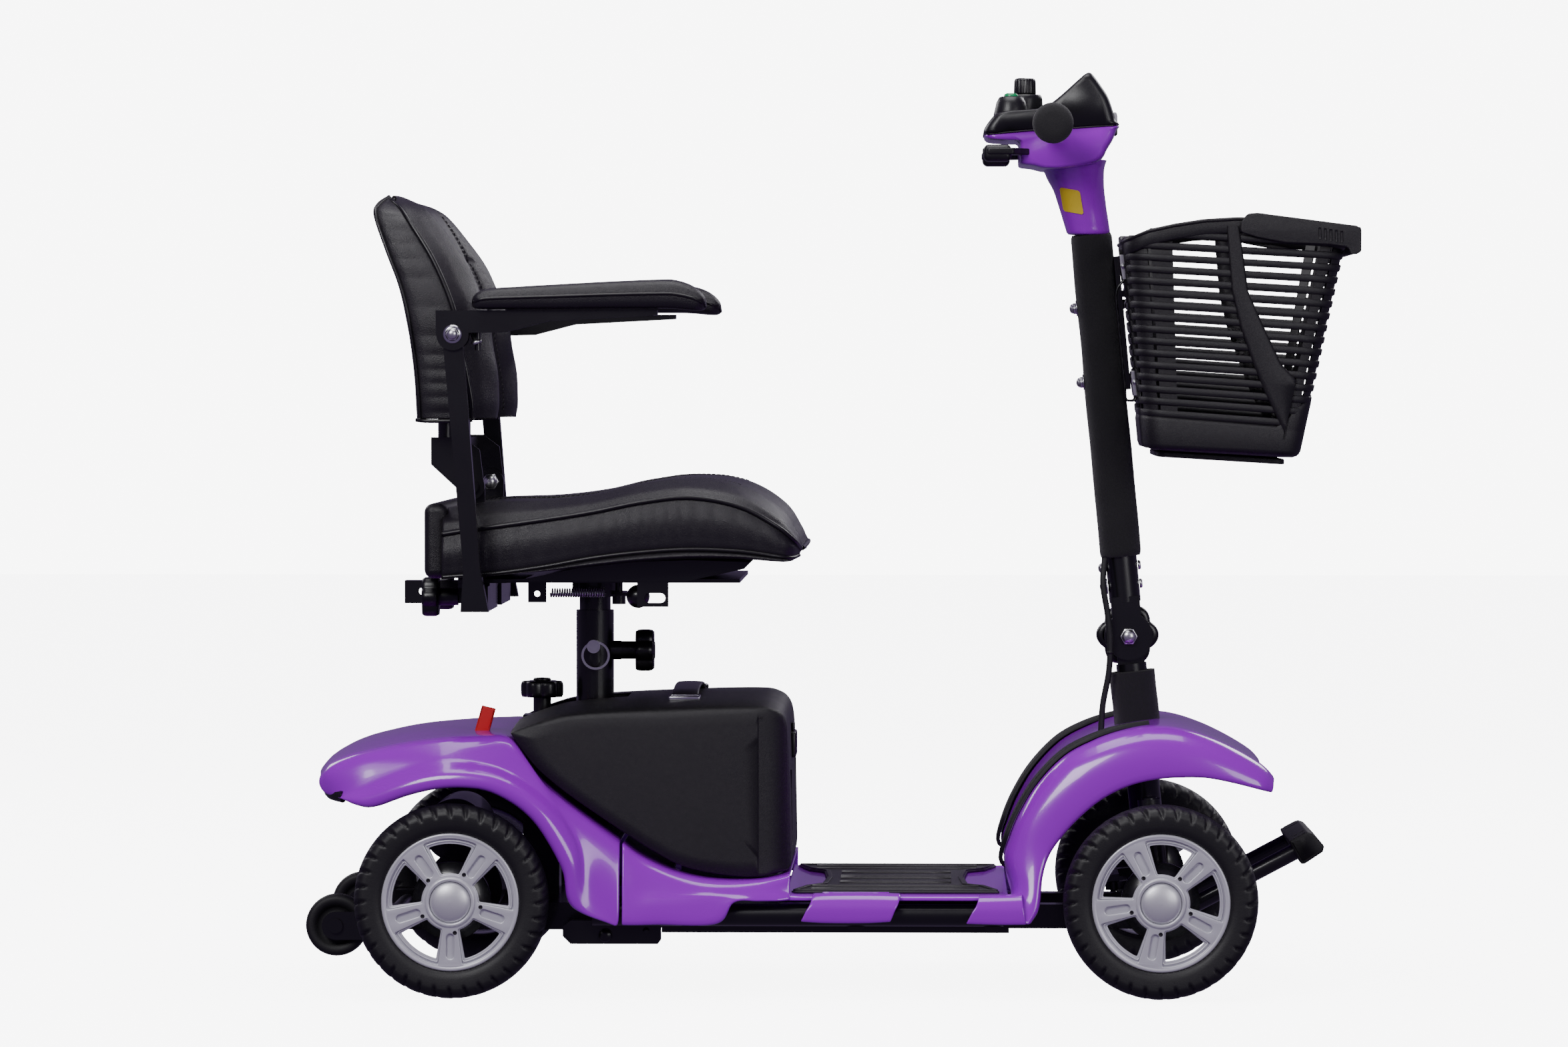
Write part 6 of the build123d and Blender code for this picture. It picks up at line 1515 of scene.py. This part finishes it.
def solid_strip(cols, lo, hi, off0, off1, steps=2):
    """A solid strip over plan points cols between heights lo(x) and hi(x), between two outward offsets."""
    ring = []
    for i in cols:
        bx = BASE[i][0]
        k = (bx - XR0) / (XF0 - XR0)

        def at(f, off):
            z0, z1 = lo(i), hi(i)
            return on_wall(i, z0 + (z1 - z0) * f, off * FLIP)

        r = 0.14
        ring.append([at(0, off0), at(0, off1 * 0.6 + off0 * 0.4), at(r, off1), at(1 - r, off1), at(1, off1 * 0.6 + off0 * 0.4), at(1, off0)])
    rows = list(map(list, zip(*ring)))
    return loft("ss", rows, closed_u=True)


def xof(i, z):
    return on_wall(i, z)[0]


ALL = list(range(N))
slats = []
# the slats, running right round, on the near side and on the far side
N_SL = 16
slats_l = []
for s in [(k, 0) for k in range(N_SL)] + [(k, 1) for k in range(N_SL)]:
    s, far = s
    zc = lambda i, s=s, far=far: 777.5 - 12.35 * s - 0.062 * (xof(i, 700) - 412) + 5.8 * far * min(1.0, max(0.0, (abs(on_wall(i, 700)[1]) - 90) / 40))
    h = 3.7
    cols = []
    run = []
    for i in ALL:
        x = xof(i, zc(i))
        run.append(i)
    (slats_l if far else slats).append(solid_strip(run, lambda i, zc=zc, h=h: max(563.0, zc(i) - h), lambda i, zc=zc, h=h: min(rim_z(xof(i, 780)) - 4, zc(i) + h), -1.4, 1.3))
# columns: rear corner ladder, front corner, centre back and front bars
def column(i0, i1, z0, z1, off0=-2.6, off1=0.2):
    return solid_strip(list(range(i0, i1 + 1)), lambda i: z0, lambda i: z1, off0, off1)


def col_at(x_target, z=680, side_only=True):
    best = min((i for i in ALL if abs(BASE[i][1]) > HW0 - 3), key=lambda i: abs(BASE[i][0] - x_target))
    return best


iA, iB = col_at(310), col_at(347)
iC, iD = col_at(482), col_at(500)
cols = [column(iA - 6, iA + 1, 568, 781), column(iA + 2, iB, 568, 788, -2.4, -0.6)]
cols.append(column(iC, iC + 3, 568, 786))
for fy in (20, 75):
    for edge in (0, 1):
        idx = [i for i in ALL if abs(abs(BASE[i][1]) - fy) < 6 and ((BASE[i][0] < XR0 + 3) if edge == 0 else (BASE[i][0] > XF0 - 3))]
        if len(idx) > 1:
            cols.append(column(idx[0], idx[-1], 568, 777, -2.4, 0.4))
cols.append(solid_strip([i for i in ALL if i > iC + 3 and abs(BASE[i][1]) > 100], lambda i: 568, lambda i: 780, -2.6, -0.5))
# rim band and lower band
rim = solid_strip(ALL, lambda i: rim_z(xof(i, 785)) - 15.5, lambda i: rim_z(xof(i, 785)), -1.6, 2.2)
roll = []
for f, off in ((-3.0, 2.0), (-1.2, 3.6), (0.6, 3.2), (1.2, 1.0), (0.8, -1.6), (-2.0, -2.0)):
    roll.append([on_wall(i, rim_z(xof(i, 785)) + f, off * FLIP) for i in ALL])
rim2 = loft("roll", roll, closed_u=True)
low = solid_strip(ALL, lambda i: 561.5 - 0.045 * (xof(i, 570) - 330), lambda i: 594 - 0.085 * (xof(i, 590) - 345), -1.6, 1.6)
# floor, with a lip round its edge
fl_rows = []
for sc, dz in ((1.0, 6), (0.985, 1.5), (0.955, -1.8), (0.90, -3.4), (0.5, -3.6), (0.0, -3.6)):
    fl_rows.append([((cxm := 400) + (xof(i, 566) - 400) * sc, on_wall(i, 566)[1] * sc, 562.8 - 0.05 * (xof(i, 566) - 326) + dz) for i in ALL])
floor_b = loft("bfloor", fl_rows)
foot = []
half_parts = cols + [rim, rim2, low, floor_b]


# curved rib with its wide foot
def rib_z(i):
    return i


rib_rows = []
for off, fx in ((-1.4, 0.0), (2.4, 0.04), (3.6, 0.16), (3.6, 0.84), (2.4, 0.96), (-1.4, 1.0)):
    row = []
    for z in np.linspace(790, 571, 70):
        x0, x1 = rib_back(z), rib_front(z)
        if z < 619:
            x0 = min(x0, lin(z, [(571, 470), (580, 459.5), (619, 438.8)]))
        x = x0 + (x1 - x0) * fx
        hw = HALF - 0.012 * (781 - z)
        y = -(hw + off)
        lim = wall_front(z) - 20
        if x > lim:
            x = min(x, lim + 0.0)
        row.append((x, y, z))
    rib_rows.append(row)
rib_rows_c = rib_rows
rib = loft("rib", rib_rows_c, closed_u=True, cap=False)
# solid lower front corner beside the rib
corner = solid_strip([i for i in ALL if i >= col_at(462)], lambda i: 566, lambda i: lin(xof(i, 600), [(455, 584), (470, 600), (486, 617), (520, 613)]), -1.4, 1.5)
half_parts += [rib, corner]
half = join("basket_half", half_parts)
other = mirror_y(half, "basket_half_l")
ft = plate("bfoot", [rounded([(330, -118), (462, -112), (462, 112), (330, 118)], 10)], 0, 6, bevel=1.6, frame_of=lambda a, b, d: (a, b, 556.0 - 0.062 * (a - 330) - d + 2.6))
hook = box("bhook", tuple(np.array(til(29.2, -11, 369)) - (0, 0, 0)), tuple(np.array(til(33, 11, 403))), 0.8) if False else None
near_slats = join("bs_near", slats)
far_slats = mirror_y(join("bs_far0", slats_l), "bs_far")
bpy.data.objects.remove(bpy.data.objects["bs_far0"])
bk = join("basket_look", [half, other, ft, near_slats, far_slats])
put(recalc(bk), "basket", "plastic", ["basket"])
hb = []
for sgn in (-1, 1):
    hb.append(tube("hbk", [til(33.5, sgn * 30, 250), til(33.5, sgn * 30, 404)], 2.2, n=8, sides=8, smooth=False))
hk = plate("hook", [rounded([(27.6, 371), (29.0, 371), (29.0, 399.4), (34, 399.4), (34, 404.6), (27.6, 404.6)], 0.3)], -11, 11, bevel=0.3, frame_of=lambda a, b, d: til(a, d, b))
put(join("basket_hook", hb + [hk]), "basket", "plastic")

# handle
H = rounded([(414.2, 783.4), (414.6, 794), (421.5, 802.6), (431.4, 803.6), (533.9, 790.2), (538.4, 786), (538.2, 764), (534.0, 761.2), (527.3, 760.6), (524.6, 768), (505.6, 770.8), (460.4, 772.6), (432.2, 778.0)], [5, 6, 6, 10, 4, 3, 3, 2, 2, 6, 10, 20, 8], n=5)
hp = []
for y0, y1 in ((-151.6, -145.9), (145.9, 151.6)):
    hp.append(plate("hs", [H], y0, y1, bevel=1.4))
for sgn in (-1, 1):
    for k in range(5):
        x = 495.5 + k * 5.6
        zt = 789.5 - k * 0.9
        hp.append(tube("hr", [(x, sgn * 151.4, zt - 1), (x + 0.4, sgn * 151.4, zt - 13)], 1.5, n=6, sides=8, smooth=False))
hp.append(box("hx", (531.4, -151, 762.5), (538.2, 151, 789.2), 2.6, 4))
hp.append(plate("hface", [rounded([(-60, -9), (60, -9), (60, 9), (-60, 9)], 5)], 537.6, 539.4, bevel=0.6, frame_of=lambda a, b, d: (d, a, 776 + b)))
put(join("basket_handle_look", hp), "basket_handle", "plastic", ["basket_handle"])

# ------------------------------------------------------------------ seat base details
def helix(name, a, b, r, turns, wire, n=260):
    a, b = np.array(a, float), np.array(b, float)
    ax = (b - a) / np.linalg.norm(b - a)
    u = np.cross(ax, (0, 0, 1.0))
    u /= np.linalg.norm(u)
    v = np.cross(ax, u)
    pts = [tuple(a + (b - a) * t + r * (math.cos(TAU * turns * t) * u + math.sin(TAU * turns * t) * v)) for t in np.linspace(0, 1, n)]
    return tube(name, pts, wire, n=n, sides=6, smooth=False)


sp = helix("lever_spring_look", (-300, -67.5, 410), (-243, -67.5, 410), 4.2, 22, 0.85, 420)
put(sp, "seat", "zinc", ["lever_spring"])

# ------------------------------------------------------------------ backrest hinge nuts
for sgn in (-1, 1):
    nut = acorn("hinge_nut", (-377, sgn * 142.5, 522.6), (0, -sgn, 0), 8.5, 11)
    put(nut, "backrest", "zinc")

# axle screws in the anti-tip wheels
for tag, sgn in (("left", 1), ("right", -1)):
    b = bolt_head("anti_tip_screw_" + tag, (-516, sgn * 161.2, 70), (0, sgn, 0), 5.6, 2.2)
    put(b, "anti_tip_" + tag, "zinc")


# ------------------------------------------------------------------ floor, light and camera
def stage_mesh():
    rows = [[(x * 1000, y * 1000, -0.3) for y in np.linspace(-14, 14, 3)] for x in np.linspace(-14, 14, 3)]
    return loft("studio_floor", rows)


floor = stage_mesh()
m = material("studio_white", (0.93, 0.93, 0.935), rough=0.75, col_var=0.008, rough_var=0.05)
em = m.node_tree.nodes["Principled BSDF"]
em.inputs["Emission Color"].default_value = (1.0, 1.0, 1.0, 1)
em.inputs["Emission Strength"].default_value = 7.0
floor.data.materials.append(m)
floor.visible_glossy = False
floor.visible_diffuse = False


def area(name, loc, target, size, power, color=(1, 1, 1), size_y=None):
    ld = bpy.data.lights.new(name, "AREA")
    ld.shape = "RECTANGLE"
    ld.size = size
    ld.size_y = size_y or size
    ld.energy = power
    ld.color = color
    o = link(bpy.data.objects.new(name, ld))
    o.location = loc
    o.rotation_euler = (Vector(target) - Vector(loc)).to_track_quat("-Z", "Y").to_euler()
    return o


area("key", (-1.6, -3.2, 2.6), (0, 0, 0.45), 1.6, 92)
area("fill", (2.4, -3.4, 1.4), (0, 0, 0.4), 1.6, 42)
area("top", (0.0, -0.2, 3.4), (0, 0, 0.3), 2.2, 70)
area("rim_back", (1.8, 2.6, 2.2), (0, 0, 0.5), 1.2, 28)
area("rim_back_left", (-2.2, 2.4, 2.0), (0, 0, 0.5), 1.2, 22)

world = bpy.data.worlds.new("studio") if not bpy.data.worlds else bpy.data.worlds[0]
bpy.context.scene.world = world
world.use_nodes = True
bg = world.node_tree.nodes.get("Background") or world.node_tree.nodes.new("ShaderNodeBackground")
bg.inputs[0].default_value = (0.66, 0.48, 0.95, 1)
bg.inputs[1].default_value = 0.20
# a plain white surround behind the object, which doesn't light it
wt = world.node_tree
white = wt.nodes.new("ShaderNodeBackground")
white.inputs[0].default_value = (1.0, 1.0, 1.0, 1)
white.inputs[1].default_value = 8.0
path = wt.nodes.new("ShaderNodeLightPath")
mix = wt.nodes.new("ShaderNodeMixShader")
out = next(n for n in wt.nodes if n.type == "OUTPUT_WORLD")
wt.links.new(path.outputs["Is Camera Ray"], mix.inputs[0])
wt.links.new(bg.outputs[0], mix.inputs[1])
wt.links.new(white.outputs[0], mix.inputs[2])
wt.links.new(mix.outputs[0], out.inputs["Surface"])

cam_data = bpy.data.cameras.new("camera")
cam_data.sensor_width = 36.0
cam_data.lens = CAM_LENS = 36.0 * 9733.0 / 2349.0
cam = link(bpy.data.objects.new("camera", cam_data))
cam.location = (0.1003, -6.835, 0.6354)
YAW, PITCH, ROLL = 1.327, -1.295, 0.0
cam.rotation_euler = (math.radians(90 + PITCH), math.radians(ROLL), math.radians(YAW))
cam_data.clip_end = 60
bpy.context.scene.camera = cam
